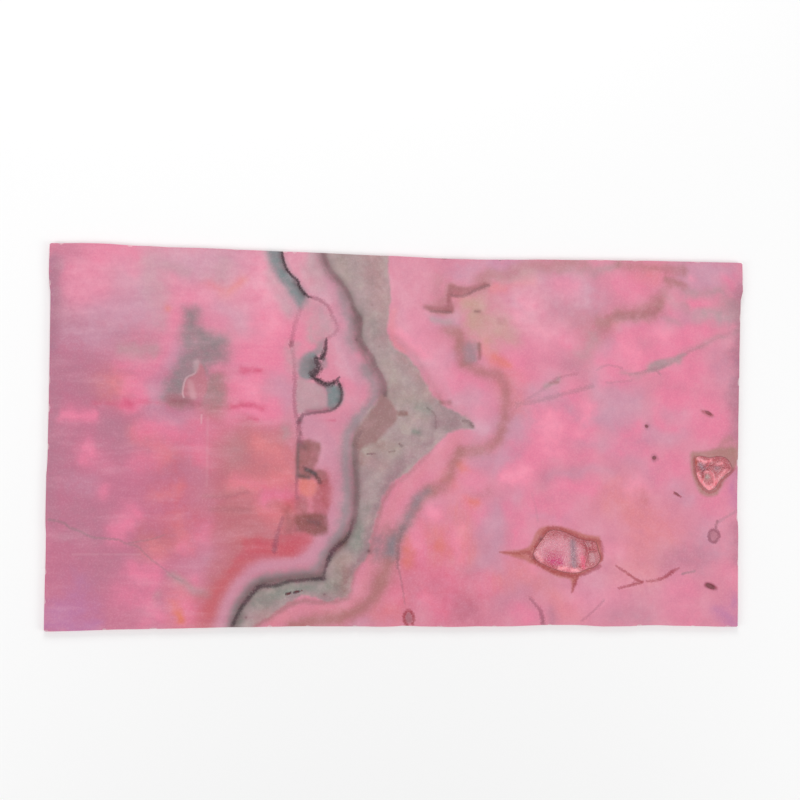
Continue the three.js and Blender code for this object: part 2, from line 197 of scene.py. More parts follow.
# Clouds: stains of soft colour. Each stroke is its strength, its reach and its points, in cm.
CLOUDS = {
    # name: (colour, strokes)
    "old_rose": ("#C57992", [
        (0.95, 26, [(-128, 40), (-128, -20), (-124, -60)]),
        (0.9, 24, [(-100, 20), (-104, -20), (-100, -60)]),
        (0.75, 18, [(-84, 16), (-82, -20), (-84, -50)]), (0.6, 12, [(-132, 66), (-120, 60)]),
    ]),
    "brick": ("#C27982", [
        (0.95, 12, [(-64, -2), (-52, -2)]), (0.95, 13, [(-66, -14), (-50, -14)]),
        (0.95, 13, [(-66, -27), (-48, -27)]), (0.95, 12, [(-62, -38), (-46, -38)]),
        (0.9, 8, [(-66, -48), (-72, -60), (-75, -70)]), (0.7, 6, [(-72, 16), (-76, 10)]),
        (0.6, 7, [(-114, 20), (-106, 18)]), (0.5, 5, [(-104, 3), (-100, 0)]),
        (0.6, 6, [(-98, -38), (-90, -38)]), (0.5, 5, [(-97, -43), (-94, -42)]),
        (0.6, 7, [(68, 48), (78, 46), (72, 40)]), (0.3, 4, [(32, 58), (34, 53)]),
        (0.6, 1.7, [(94, -18), (95, -22)]), (0.5, 2.4, [(-102, 2), (-99, 2)]),
    ]),
    "mauve": ("#B87E92", [
        # along the left end: partly mauve in the stone, partly painted shade where the edge rounds off
        (0.75, 3.2, [(-134, 60), (-133, 30), (-134, -12), (-134, -30)]),
        (0.6, 6, [(-130, 50), (-130, 44)]), (0.7, 7, [(-128, 42), (-110, 40)]),
        (0.6, 8, [(-126, 28), (-112, 27)]), (0.6, 7, [(-128, 20), (-121, 18)]),
        (0.7, 6, [(-112, 5), (-104, 2)]), (0.5, 8, [(-130, 2), (-130, -12)]),
        (0.5, 6, [(-112, 0), (-104, -6)]), (0.5, 6, [(-94, -12), (-86, -12)]),
        (0.5, 5, [(-97, 11), (-88, 8)]), (0.4, 8, [(-124, -28), (-114, -30)]),
        (0.5, 3.5, [(-128, -36), (-116, -38)]), (0.4, 8, [(-120, -54), (-110, -48)]),
        (0.5, 5, [(-100, -45), (-96, -49)]), (0.5, 5, [(-86, -10), (-80, -12)]),
        # these three lines of strokes run along the slab's ends: partly mauve in the stone, partly painted
        # shade where the edge rounds off
        (0.8, 2.6, [(135, 60), (134, 40)]), (0.85, 3.6, [(133.6, 36), (133, 20), (133.6, 4)]),
        (0.65, 3, [(134, 66), (134, 50)]), (0.5, 4, [(134, -34), (135, -45)]),
        (0.45, 2.4, [(-133.6, 68), (-133.6, 40)]), (0.4, 2.4, [(134, 2), (134, -20)]),
        (0.5, 7, [(62, 54), (74, 52)]), (0.45, 5, [(66, 30), (62, 34)]),
        (0.5, 8, [(104, -46), (118, -44)]), (0.5, 5, [(84, -66), (96, -68)]),
        (0.4, 5, [(50, -57), (56, -54)]), (0.4, 4, [(56, -14), (66, -13)]),
        (0.6, 3, [(57, -66), (60, -70)]), (0.5, 5, [(20, -60), (26, -66)]),
        (0.25, 14, [(-124, -18), (-118, -40)]),
    ]),
    "lavender": ("#C996AB", [
        (0.8, 9, [(-118, 48), (-100, 50)]), (0.75, 6, [(-106, 64), (-100, 56)]),
        (0.7, 7, [(-97, 66), (-86, 64)]), (0.5, 6, [(-126, 38), (-118, 37)]),
        (0.7, 6, [(-97, 20), (-96, 14)]), (0.6, 4, [(-94, 7), (-84, 8)]),
        (0.7, 5, [(-88, 33), (-89, 28)]), (0.4, 4, [(-125, -17), (-119, -18)]),
        (0.4, 6, [(-79, -13), (-77, -22)]), (0.75, 8, [(-82, 66), (-66, 68)]),
        (0.65, 6, [(-72, 50), (-63, 45)]), (0.5, 3, [(-84, 55), (-76, 55)]),
        (0.6, 4, [(-62, 30), (-62, 27)]), (0.7, 6, [(-50, 24), (-46, 14)]),
        (0.7, 4, [(-47, 54), (-44, 50)]), (0.4, 5, [(-80, -52), (-76, -44)]),
        (0.6, 3.4, [(-34, 50), (-32, 46)]), (0.6, 3, [(-35, 57), (-30, 57)]),
        (0.8, 3.4, [(10, 48), (18, 47)]), (0.6, 6, [(24, 18), (34, 16)]), (0.6, 5, [(30, 6), (36, 8)]),
        (0.8, 4.6, [(44, 9), (42, 4), (42, -2), (40, -8)]), (0.6, 5, [(30, -6), (38, -9)]),
        (0.85, 6, [(37, -27), (35, -38), (33, -48)]), (0.5, 2.6, [(27, -50), (38, -50.6)]),
        (0.5, 4, [(45, -18), (44, -22)]), (0.7, 4.6, [(46, 20), (54, 20), (66, 15)]),
        (0.8, 5, [(66, 12), (72, 11)]), (0.75, 7.5, [(80, 20), (90, 17)]), (0.7, 6, [(82, 12), (90, 8)]),
        (0.6, 5, [(94, 3), (112, 5)]), (0.6, 4, [(76, 9), (83, 5)]), (0.6, 4, [(46, 14), (46, 6)]),
        (0.5, 2, [(2, -15), (8, -9), (15, -3)]), (0.6, 4, [(103, 13), (112, 12)]),
        (0.5, 2.4, [(58, -13), (72, -11), (82, -10)]), (0.5, 5, [(90, -6), (98, -10)]),
        (0.6, 2.4, [(58, 13), (70, 9.4), (86, 8)]), (0.5, 3, [(72, 1.4), (84, -0.6)]),
        (0.6, 3, [(88, -2), (98, 1.6)]), (0.6, 2, [(50, -29), (64, -29)]),
        (0.6, 3.2, [(104, 55), (111, 51), (122, 50.6), (134, 53)]), (0.85, 6, [(110, 69), (130, 68)]),
        (0.6, 4, [(112, 63), (122, 63)]), (0.7, 5, [(62, 62), (72, 61)]), (0.5, 3, [(43, 54), (46, 52)]),
        (0.7, 4, [(82, 40), (78, 34), (76, 26)]), (0.8, 4.6, [(103, 47), (112, 49)]),
        (0.5, 5, [(46, 65), (60, 64)]), (0.45, 5, [(108, -17), (113, -22)]),
        (0.4, 6, [(122, -32), (124, -42)]), (0.4, 5, [(78, -57), (74, -60)]),
        (0.6, 5, [(20, 66), (30, 68), (38, 70)]), (0.5, 5, [(40, -7), (56, 24)]),
        (0.4, 6, [(56, 4), (50, 14)]), (0.5, 3.4, [(16, 30), (20, 34)]), (0.4, 6, [(125, 35), (126, 26)]),
        (0.6, 3, [(-10, -70), (-18, -71)]), (0.5, 5, [(40, -62), (44, -60)]),
        (0.45, 3, [(62, 10), (72, 9.6), (84, 8.6)]), (0.5, 3, [(66, 1.6), (76, -1.6), (84, -3)]),
        (0.5, 2.6, [(86, 2), (98, 1)]), (0.5, 3, [(46.4, 12), (46.8, 2)]),
        (0.5, 2.2, [(41.8, 24), (42, 14)]), (0.45, 3, [(86, 46), (92, 47)]),
        (0.4, 3, [(88, 24), (91, 23)]),
    ]),
    "pale_rose": ("#D9A8B9", [
        (0.8, 4, [(-31, 56), (-27, 52), (-25, 45), (-25.6, 38), (-24, 31), (-19, 25)]),
        (0.5, 5, [(-2, 48), (4, 38), (10, 30), (18, 22), (28, 14)]), (0.6, 4, [(22, 8), (30, 6)]),
        (0.5, 3, [(-38, 4), (-34, 0), (-31, -6)]), (0.5, 6, [(-62, 46), (-60, 40)]),
        (0.4, 6, [(84, 30), (78, 22)]), (0.5, 4, [(3, 34), (8, 32)]), (0.5, 6, [(66, 66), (72, 56)]),
    ]),
    "salmon": ("#E1878E", [
        (0.8, 5, [(-55, -2), (-48, -7)]), (0.9, 3.4, [(-65, -17.4), (-58, -18)]),
        (0.7, 4, [(-46, -14), (-50, -17)]), (0.8, 5, [(-54, -27), (-50, -29)]),
        (0.7, 6, [(-47, -22), (-44, -26)]), (0.9, 3.4, [(-39, -17), (-36, -19)]),
        (0.6, 5, [(-94, -4), (-91, -6)]), (0.4, 3.6, [(-95, -21.6), (-90, -21)]),
        (0.6, 2.8, [(-88, -20), (-86, -18.6)]), (0.5, 4, [(-58, -14), (-50, -17)]),
        (0.6, 5, [(-86, -32), (-84, -38)]), (0.6, 6, [(-84, -58), (-84, -68)]),
        (0.6, 4, [(-96, -42), (-92, -44)]), (0.6, 6, [(-112, 21), (-108, 19)]),
        (0.5, 4, [(-102, 2), (-99, 1)]), (0.85, 2.4, [(-76, 58), (-72, 56), (-67, 57), (-63, 61)]),
        (0.6, 2.4, [(-91.5, 50)]), (0.45, 2, [(-5.5, 50), (-6, 44), (-4, 38), (-1, 35)]),
        (0.8, 2.4, [(34, 60.4), (38, 60)]), (0.4, 2.4, [(20, 56), (24, 54)]),
        (0.6, 2.2, [(42, 62), (50, 63)]), (0.8, 2.4, [(31, 39), (31, 35)]),
        (0.9, 2.8, [(34, 31), (40, 31)]), (0.5, 4, [(44, 27), (47, 24)]),
        (0.9, 2.6, [(25.5, -23.6), (28, -23.6)]), (0.7, 3, [(22, -8), (23, -10)]),
        (0.6, 4, [(16, -14), (19, -17)]), (0.7, 2.4, [(2, -42), (2, -48)]),
        (0.7, 3, [(15, -39), (17, -43)]), (0.5, 5, [(8, -35), (14, -36)]),
        (0.35, 7, [(84, -18), (92, -24), (96, -32)]), (0.5, 8, [(92, -42), (104, -34)]),
        (0.5, 7, [(88, -52), (98, -50)]), (0.6, 5, [(60, -60), (66, -66)]),
        (0.5, 5, [(46, -50), (54, -54)]), (0.5, 6, [(-10, -66), (-4, -64)]),
        (0.5, 5, [(98, 68), (94, 66)]), (0.6, 2.4, [(82, 48.5), (84, 48)]),
        (0.5, 6, [(40, 24), (44, 14)]), (0.5, 3, [(-20, -66), (-30, -65)]),
        (0.6, 3, [(-46, -66), (-50, -69)]), (0.6, 2, [(-12, -40), (-12, -44)]),
    ]),
    "hot_pink": ("#E785A2", [
        (0.9, 7, [(-117, 68), (-105, 70)]), (0.7, 7, [(-124, 55), (-117, 56)]),
        (0.6, 5, [(-127, 62), (-122, 62)]), (0.6, 3, [(-105, 63)]), (0.7, 5, [(-89, 49), (-87, 46)]),
        (0.5, 4, [(-91, 38), (-94, 30)]), (0.6, 6, [(-107, 27), (-98, 28), (-103, 22)]),
        (0.8, 3, [(-106, 12.5), (-102, 13)]), (0.7, 4, [(-103, 19), (-101, 15)]),
        (0.85, 2.6, [(-129, 8.5), (-118, 8)]), (0.8, 5, [(-99, 3), (-88, 3)]),
        (0.85, 3.6, [(-121, -4), (-118, -6)]), (0.6, 2.6, [(-122, -8)]), (0.6, 3, [(-114, -20.5)]),
        (0.2, 4, [(-120, -11), (-114, -11)]), (0.85, 4, [(-109, -33), (-105, -33)]),
        (0.7, 3, [(-104, -27), (-101, -29)]), (0.5, 3, [(-108, -38)]), (0.5, 5, [(-102, -10), (-96, -8)]),
        (0.85, 5.4, [(-101, -50), (-95, -51)]), (0.5, 6, [(-106, -60), (-98, -60)]),
        (0.6, 4, [(-96, -62), (-94, -66)]), (0.6, 3, [(-92, -68)]), (0.5, 3, [(-98, -70)]),
        (0.7, 5, [(-80, -4), (-78, -6)]), (0.6, 4, [(-76, -34), (-77, -38)]), (0.6, 3, [(-84, -41)]),
        (0.7, 6, [(-83, -64), (-80, -66)]), (0.5, 4, [(-79, -53)]), (0.5, 6, [(-74, 3), (-80, 2)]),
        (0.6, 5, [(-90, 59), (-84, 56)]), (0.7, 6, [(-78, 54), (-84, 54)]),
        (0.5, 4, [(-76, 45), (-72, 45)]), (0.8, 8, [(-58, 56), (-58, 66)]),
        (0.95, 8, [(-54, 47), (-48, 42), (-54, 36)]), (0.9, 6, [(-62, 32), (-50, 30)]),
        (0.85, 5.6, [(-58, 24), (-64, 18), (-60, 24)]), (0.95, 5.6, [(-65, 12), (-52, 12)]),
        (0.7, 4, [(-66, 17), (-56, 9)]), (0.8, 3.4, [(-37, 48), (-38, 42), (-36, 37)]),
        (0.7, 2.6, [(-43, 38), (-43, 33)]), (0.9, 4.4, [(-52, -22.6), (-44, -22.6)]),
        (0.3, 4, [(-57, -17), (-64, -17)]), (0.4, 3, [(-22, 22), (-19, 20)]),
        (0.6, 3, [(-26, 45), (-28, 52)]), (0.4, 6, [(2, 46), (6, 38)]), (0.4, 6, [(14, 28), (20, 24)]),
        (0.7, 5, [(6, -12), (-2, -20)]), (0.6, 3, [(10, -6), (16, -2)]), (0.8, 3.6, [(48, 54.5)]),
        (0.6, 3, [(54, 51)]), (0.6, 3, [(44, 48.5)]), (0.7, 5, [(60, 63), (64, 61)]),
        (0.9, 4.4, [(61, 42), (68, 38)]), (0.8, 4, [(39, 32.5), (46, 32)]),
        (0.6, 7, [(44, 38), (56, 36)]), (0.5, 6, [(46, 25), (50, 26)]), (0.7, 5, [(66, 19), (72, 14)]),
        (0.8, 6, [(54, 12), (60, 10)]), (0.8, 6, [(53, 2), (64, 4)]), (0.7, 6, [(68, 6), (72, 4)]),
        (0.8, 6, [(46, -11), (54, -2)]), (0.7, 5, [(56, -6), (60, -3)]), (0.6, 5, [(42, -14), (46, -14)]),
        (0.9, 4.4, [(63, -17), (74, -18)]), (0.5, 3.4, [(66, -4), (76, -7)]),
        (0.6, 3, [(40, -24), (42, -27)]), (0.6, 5, [(84, -2), (90, -1)]), (0.7, 6, [(86, 62), (92, 62)]),
        (0.6, 4, [(104, 57), (106, 52)]), (0.8, 3, [(104, 67)]), (0.8, 2.6, [(128, 65.5), (131, 64)]),
        (0.6, 3, [(133, 68)]), (0.9, 2.8, [(114, 56.4), (120, 55.4)]), (0.6, 2.4, [(100, 13), (102, 9)]),
        (0.9, 6, [(88, 36), (96, 33)]), (0.7, 5, [(86, 42), (96, 46)]), (0.7, 5, [(78, 33), (84, 30)]),
        (0.9, 7, [(104, 42), (110, 41)]), (0.8, 6, [(114, 46), (120, 46)]),
        (0.8, 4, [(102, 37), (110, 36)]), (0.8, 7, [(108, 28), (116, 29)]),
        (0.7, 6, [(82, 26), (86, 25)]), (0.9, 5, [(104, 18), (108, 18)]),
        (0.7, 7, [(114, 17), (122, 16)]), (0.6, 4, [(104, 8), (108, 8)]), (0.8, 7, [(118, 7), (130, 8)]),
        (0.7, 5, [(88, 5), (92, 6)]), (0.7, 5, [(108, -6), (110, -9)]), (0.5, 6, [(96, -2), (104, -13)]),
        (0.5, 7, [(130, -20), (124, -24)]), (0.6, 6, [(108, -58), (114, -58)]),
        (0.5, 5, [(110, -67), (116, -70)]), (0.5, 4, [(82, -42), (86, -42)]),
        (0.6, 7, [(52, -24), (62, -26)]), (0.6, 5, [(46, -30), (46, -38)]),
        (0.8, 5, [(17, -51), (20, -55)]), (0.8, 5, [(31, -56), (34, -55)]),
        (0.7, 5, [(20, -37), (21, -42)]), (0.7, 6, [(4, -36), (6, -42)]), (0.6, 7, [(8, -45), (10, -50)]),
        (0.6, 4, [(-5, -58), (-3, -60)]), (0.7, 4, [(9, -61), (11, -62)]),
        (0.7, 5, [(46, -66), (50, -68)]), (0.7, 5, [(14, -66), (18, -62)]),
        (0.6, 5, [(26, -26), (30, -28)]), (0.6, 5, [(24, -14), (28, -16)]),
        (0.6, 4, [(11, -26), (13, -28)]), (0.5, 6, [(70, -62), (86, -60)]),
        (0.4, 5, [(132, -52), (134, -56)]), (0.5, 5, [(22, 24), (30, 22)]),
        (0.4, 5, [(30, 12), (34, 15)]), (0.5, 5, [(44, -2), (48, -6)]),
    ]),
    "bright_pink": ("#F498B1", [
        (0.8, 5, [(56, 9), (58, 3)]), (0.7, 4, [(46, -13), (42, -15)]), (0.7, 3, [(48, -10)]),
        (0.5, 3, [(58, -4)]), (0.6, 4, [(88, 38), (92, 35)]), (0.6, 3, [(102, 45), (104, 44)]),
        (0.6, 4, [(72, 13)]), (0.5, 3, [(70, 6)]), (0.6, 3, [(-57, 66), (-54, 56)]),
        (0.5, 5, [(-50, 48), (-52, 42)]), (0.5, 4, [(-57, 13), (-60, 20)]), (0.6, 3, [(8, 34), (-2, 41)]),
        (0.5, 3, [(47, 55)]), (0.5, 3, [(44, 49)]), (0.5, 3, [(50, 45), (56, 43)]),
        (0.6, 2.4, [(22, -34), (21.4, -39), (22, -46)]), (0.4, 3, [(12, -27), (12, -33)]),
        (0.5, 3, [(52, -50)]), (0.5, 3, [(11, -27)]), (0.6, 2.4, [(13.5, -3)]), (0.5, 4, [(4, -40)]),
        (0.5, 3, [(10, -61)]), (0.5, 2.4, [(114, 67)]), (0.5, 3, [(-37, 46), (-37, 41)]),
        (0.5, 4, [(90, -18), (94, -16)]), (0.5, 3, [(106, 57)]),
    ]),
    "violet": ("#C080A6", [
        (0.75, 6, [(-130, -66), (-122, -64)]), (0.8, 3, [(-133, -71), (-116, -71)]),
        (0.4, 6, [(-122, -56)]), (0.75, 4, [(128, -67), (134, -70)]), (0.6, 3, [(134, -62)]),
        # the strokes near x = ±134, here and on the next line, darken the slab's ends: partly painted shade
        # where the edge rounds off
        (0.4, 4, [(36, 69), (42, 70)]), (0.4, 4, [(133, -14), (134, -24)]),
        (0.45, 3, [(-134, 64), (-134, 36)]), (0.25, 3, [(134, 30), (134, 4)]),
    ]),
    "dull_green": ("#B8939A", [
        (0.5, 6, [(-98, 58), (-98, 66)]), (0.7, 3.4, [(-107, 33.5), (-97, 33)]),
        (0.3, 4, [(-94, 56), (-94, 44)]), (0.6, 3, [(-91, 64), (-84, 64)]),
        (0.7, 2, [(-88, -53), (-84, -55), (-79, -58), (-73, -60.6)]), (0.4, 3, [(-93, -60)]),
        (0.6, 5, [(-72, 62), (-70, 66)]), (0.4, 5, [(-66, -4), (-66, -8)]),
        (0.6, 3, [(-47, 4), (-46, 2)]), (0.6, 2.4, [(120, 52.6), (134, 53)]),
        (0.7, 3, [(129, 57), (134, 56)]), (0.5, 4, [(74, 41), (70, 35)]), (0.6, 2, [(84, 71), (76, 68)]),
        (0.4, 1.6, [(80, 48.6), (88, 50), (97, 50.6)]),
        (0.7, 1.5, [(98.6, 30), (103, 31.8), (109, 34.6)]), (0.85, 1.5, [(55.6, 23.4), (60, 25)]),
        (0.4, 1.3, [(109, 34.6), (114, 37.4), (121, 41), (134, 46.6)]),
        (0.45, 1.4, [(86, 27), (92, 28), (98, 30)]), (0.6, 2, [(112, 60.4), (126, 61)]),
        (0.5, 2.6, [(34, 64.4), (45, 66.6), (60, 68.2), (74, 69)]),
        (0.4, 2.6, [(104, 60), (107, 56), (112, 54.6)]), (0.45, 2.4, [(104, 49), (108, 48)]),
    ]),
    "feathery": ("#E08A86", [
        (0.4, 5, [(12, -36), (14, -40), (15, -46)]), (0.35, 5, [(22, -28), (24, -36), (26, -44)]),
        (0.3, 4, [(36, -54), (40, -56)]), (0.25, 6, [(82, -24), (94, -28)]),
    ]),
    "greige_rose": ("#B99CA2", [
        (0.9, 3.2, [(-35, 74), (-35, 66), (-32, 61)]), (0.5, 3.4, [(-39, 66), (-36, 60)]),
        (0.4, 2.4, [(-29, 57.4), (-26, 54)]),
        (0.55, 3.2, [(-54.6, 76), (-54, 70), (-52, 63), (-48, 56), (-43.6, 50)]),
        (0.5, 2, [(-43.4, 36), (-43.6, 28)]), (0.8, 1.6, [(9, 47.4), (17, 47)]),
        (0.5, 3, [(116, 51), (124, 50), (133, 52)]), (0.5, 2.4, [(-38, 40), (-34, 37), (-31.6, 34)]),
    ]),
    "olive_beige": ("#C49C90", [
        (0.85, 4.6, [(23.6, 53), (28.6, 54.6), (27, 46)]), (0.65, 4, [(31, 49), (38, 46)]),
        (0.6, 3.6, [(36, 43), (43, 42.4)]), (0.5, 3.6, [(30, 41), (34, 37)]),
        (0.4, 2.6, [(37, 64), (48, 66)]),
    ]),
    "apricot": ("#DF8070", [
        (0.3, 1.6, [(-87.6, -62.6), (-86.4, -65)]), (0.9, 1.6, [(-85.6, -66), (-84.4, -68)]),
        (0.45, 1.6, [(26.4, -24), (28.4, -24)]), (0.5, 2.4, [(22, -9), (23.4, -11)]),
        (0.6, 2, [(35.6, 31.8), (39.4, 31)]), (0.6, 1.3, [(-92, 50)]),
        (0.4, 2.4, [(-47.6, -26), (-44.6, -25.6)]), (0.5, 1.6, [(-67, 57), (-63.6, 60.6)]),
        (0.5, 2, [(2, -42.6), (2, -46)]), (0.4, 2, [(15, -40), (17, -42)]),
    ]),
    "crimson": ("#D2607E", [
        (0.35, 1.2, [(-118, 13.2), (-110, 13), (-100, 13.2)]), (0.5, 1.8, [(-105, 13)]),
        (0.4, 1.4, [(-98, 13), (-90, 14)]), (0.7, 1.5, [(-66, 12.6), (-54, 12.4)]),
        (0.5, 1, [(-61, 6.4), (-56, 6.2)]), (0.6, 1.5, [(-63, 27), (-56, 26)]),
        (0.2, 1.6, [(-104.6, 1), (-99, 1)]), (0.6, 0.6, [(-37, 7), (-30, 7.6), (-25, 8.2)]),
    ]),
    "umber": ("#B77F83", [
        (0.9, 1.8, [(17, 59.6), (20, 59.2), (23, 58.6), (27, 60), (31, 61.4)]),
        (0.5, 2, [(31, 61.6), (33, 64.6)]), (0.8, 1.8, [(8, 52.4), (10, 51.8), (17, 51.8)]),
        (0.35, 1.2, [(-76, -21.6), (-68, -21.4), (-60, -19.8)]), (0.35, 1.6, [(-75, -26.8), (-60, -27)]),
        (0.5, 1.6, [(-50.4, -25.4), (-47.6, -25)]), (0.25, 2.2, [(27, -21), (33, -18.6)]),
        (0.7, 3, [(70, 71), (50, 69.6), (40, 67.6), (33, 65), (28, 62.8)]),
        (0.6, 2, [(84, 71), (98, 70), (110, 70)]),
        (0.85, 3, [(101, 55), (99, 52.5), (92, 51.5), (84, 50), (78, 48)]),
        (0.3, 3.4, [(105, 61), (102.6, 56)]), (0.5, 2, [(104, 68), (110, 68)]),
        (0.8, 1.5, [(103.6, 65.6), (107, 64), (111, 62.8)]), (0.5, 3, [(95, 55), (101, 57)]),
        (0.7, 2.6, [(13, 53), (16, 56)]), (0.8, 3.4, [(18, 43), (22, 38)]),
        (0.4, 4, [(12, 56), (12, 62)]), (0.5, 5, [(-72, 20), (-70, 16)]),
        (0.4, 6, [(-58, -36), (-48, -38)]), (0.8, 1.8, [(-90, 14.6), (-84, 14)]),
        # the strokes near x = ±134, here and on the next line, darken the slab's ends: partly painted shade
        # where the edge rounds off
        (0.6, 4, [(-74, 20), (-73, 13)]), (0.5, 3, [(-134, 64), (-134, 36)]),
        (0.4, 3.4, [(134, 30), (134, 4)]), (0.25, 4, [(134, 62), (134, 38)]),
    ]),
    "milky": ("#E3AEBE", [
        (0.3, 20, [(-96, 64), (-60, 62)]), (0.22, 16, [(-124, 56)]), (0.25, 16, [(-50, 66), (0, 60)]),
        (0.35, 18, [(46, 56), (58, 50)]), (0.25, 18, [(78, -52), (92, -56)]),
    ]),
    "ruddy": ("#CF6376", [
        (0.3, 16, [(-84, -12), (-84, -26)]), (0.3, 18, [(4, -54), (24, -60)]),
        (0.25, 14, [(-46, -24), (-50, -50)]),
    ]),
}
# The broad grey vein, from its upper end down its left side and back up its right side.
VEIN_LEFT = [
    (-33.4, 78), (-32.2, 72), (-31, 67.6), (-28.4, 63.6), (-25.2, 60.2), (-22.8, 56.4), (-21.2, 52),
    (-19.4, 48.5), (-17.8, 45), (-18.2, 40), (-15.8, 36), (-13.4, 32), (-12, 29), (-9.4, 25.5), (-8, 22),
    (-8.4, 18), (-10.6, 15.6), (-14, 12), (-17.6, 7.4), (-20, 2.4), (-20.8, -4), (-19.6, -10),
    (-18.8, -17), (-18.6, -24), (-19.4, -31), (-21.4, -37), (-24.4, -40.2), (-27.4, -43.4),
    (-29.4, -47.6), (-30.6, -51.6), (-31, -53.4),
]
VEIN_FOOT = [
    (-31, -53.4), (-35, -53), (-40, -54.2), (-45, -53.6), (-50, -55.4), (-54.5, -55.6), (-57.4, -58.4),
    (-60.6, -62), (-63.4, -66), (-65.2, -70), (-67.2, -78),
]
VEIN_RIGHT = [
    (-55, -78), (-57.4, -72), (-53.8, -69.2), (-49.6, -66.6), (-46, -63.8), (-42.3, -61.4), (-38, -59.9),
    (-34, -60.3), (-29, -61.9), (-25, -61), (-21.8, -60.2), (-20, -57), (-19.5, -52), (-18, -48.7),
    (-15, -46), (-13.2, -43.2), (-12.8, -39), (-11.8, -35), (-10.8, -30), (-9.6, -26), (-8.2, -22),
    (-6.2, -18.2), (-3, -15), (0.7, -12.4), (3.8, -9.4), (6.5, -6.6), (9.6, -4.1), (12.4, -1.6),
    (14.7, 0.9), (17.6, 3.3), (21.4, 4.8), (26.8, 5), (26.6, 7.6), (23.6, 9.8), (19.6, 11.8), (15, 14.4),
    (11.4, 17.2), (9.4, 20.2), (7.8, 23), (5.6, 27), (3.2, 30.4), (0.2, 33.2), (-3.6, 35.6), (-6.4, 39.2),
    (-7.6, 44), (-7, 49), (-6.4, 55), (-7, 62), (-7.5, 72), (-8, 78),
]
VEIN = VEIN_LEFT + VEIN_FOOT[1:] + VEIN_RIGHT

# Soft bands that follow the vein outside its left side: strength, reach, points.
GREY_LAVENDER = [
    (0.7, 2.4, [(-25.6, 57), (-24, 50), (-21.6, 46), (-22.4, 40), (-20.4, 36)]),
    (0.85, 2.6, [(-16, 28), (-12.2, 22), (-11.8, 17), (-14.2, 13), (-18, 8)]),
    (0.95, 2.8, [(-18, 8), (-22, 3), (-23, -4), (-22.6, -12), (-22, -20), (-22.6, -28), (-24, -34),
                 (-26.5, -39)]),
    (0.85, 1.9, [(-26.5, -39), (-30.6, -43.8), (-32.8, -48.4), (-36, -51), (-44, -51.6), (-52, -52.6),
                 (-57.4, -54.6), (-60.4, -58), (-64, -64), (-66.6, -72)]),
]
PINK_LAVENDER = [
    (0.8, 3.4, [(-30, 62), (-27, 54), (-26, 44), (-24, 36), (-20, 30), (-17, 24)]),
    (0.95, 4, [(-38, 8), (-32, 5), (-28.6, -2), (-28, -12), (-27.4, -22), (-27.6, -32), (-31, -39),
               (-36, -45)]),
    (0.95, 3.4, [(-36, -45), (-44, -47.6), (-53, -48.4), (-59, -51), (-64, -56), (-68, -64), (-70, -73)]),
    (0.9, 4, [(-38, 6), (-37, 2)]), (0.45, 3, [(-17.6, 24), (-18, 18), (-21, 11), (-26, 5)]),
    (0.8, 2.6, [(-31, -9), (-33, -10)]), (0.9, 3, [(-33, -42), (-31, -38)]),
]
RED_FRINGE = [
    (0.85, 3, [(-74, -66), (-71, -58), (-66, -51.6), (-61, -46), (-57, -42.6), (-50, -42), (-44, -42)]),
    (0.7, 4, [(-43, -40), (-40, -38)]), (0.6, 3, [(-62, -38), (-56, -40)]),
    (0.5, 4, [(-76, -62), (-76, -70)]), (0.7, 2.4, [(-45, -27), (-43, -24)]),
    (0.6, 3, [(-30.5, -14), (-30.5, -24)]),
]
# The outer band on the right: brown, with grey-blue at its narrow place.
OUTER_BAND = [
    (0.7, 2.6, [(20, 42), (21, 36), (23, 31)]),
    (0.75, 2.7, [(23, 31), (27, 28.5), (31, 27), (36.4, 26.2), (39.4, 22.6), (39.6, 16), (39.4, 11),
                 (38.4, 5), (36.6, 1), (33, -2.2), (28, -3.4), (22, -4)]),
    (0.75, 2.8, [(22, -4), (19.4, -8), (18, -13), (15, -17.4), (10, -19)]),
    (0.8, 2.8, [(11, -19.4), (6.4, -22.8), (3.4, -27), (0.6, -32), (-2.2, -37)]),
    (0.95, 4, [(-3.6, -38), (-5.4, -45), (-6.6, -50), (-8.8, -55)]),
    (0.95, 3.4, [(-8.8, -55), (-11.2, -60), (-14.8, -64), (-20.6, -67.2), (-27, -69), (-34, -69.8),
                 (-42, -71.6)]),
]
BAND_GREY = [
    (0.5, 1.8, [(9.4, -19), (5.8, -22.2)]),
    (0.65, 2.5, [(5.8, -22.2), (3.2, -26.8), (0.8, -31.4), (-1.8, -36)]),
    (0.9, 3.2, [(-4.2, -38.4), (-5, -43)]), (0.5, 2.6, [(-9.6, -38), (-10, -44)]),
    (0.7, 2.8, [(25, 36), (25.6, 33)]),
]
# Pink that lies between the vein and the outer band.
BETWEEN_PINK = [
    (0.9, 3.4, [(20, 1), (14, -5), (8, -10), (2, -16), (-3, -22), (-7, -30), (-9, -38)]),
    (0.85, 2.6, [(-9, -38), (-14, -50), (-16, -58), (-20, -63), (-30, -65), (-40, -65), (-48, -69)]),
]
# A redder fringe along the vein's right side, and a haze beside its upper half.
VEIN_FRINGE = [
    (0.75, 2.2, [(-57.4, -71), (-52.6, -67.4), (-47.6, -64), (-43, -61.8)]),
    (0.8, 1.3, [(-58, -73), (-54, -69.6), (-49, -66.8), (-44, -63.4), (-38, -61.6), (-32, -62.4),
                (-26, -61.8), (-21.2, -60.6), (-19.8, -56), (-19.4, -51.4), (-16.6, -46.6),
                (-13.2, -43.4), (-12, -38), (-10.4, -31), (-8.6, -24.4), (-5.4, -18)]),
    (0.5, 1.2, [(-5.4, -18), (0.8, -13.4), (6.6, -7.4), (12, -1.8)]),
    (0.3, 2.2, [(-4.4, 39.6), (0, 36), (4, 32.4)]), (0.3, 2, [(6, 29), (10, 22), (13, 17.6)]),
    (0.25, 1.4, [(13, 16), (20, 12.6), (26, 8.6)]), (0.5, 3, [(-6.4, -34), (-9.4, -40), (-10.4, -46)]),
]

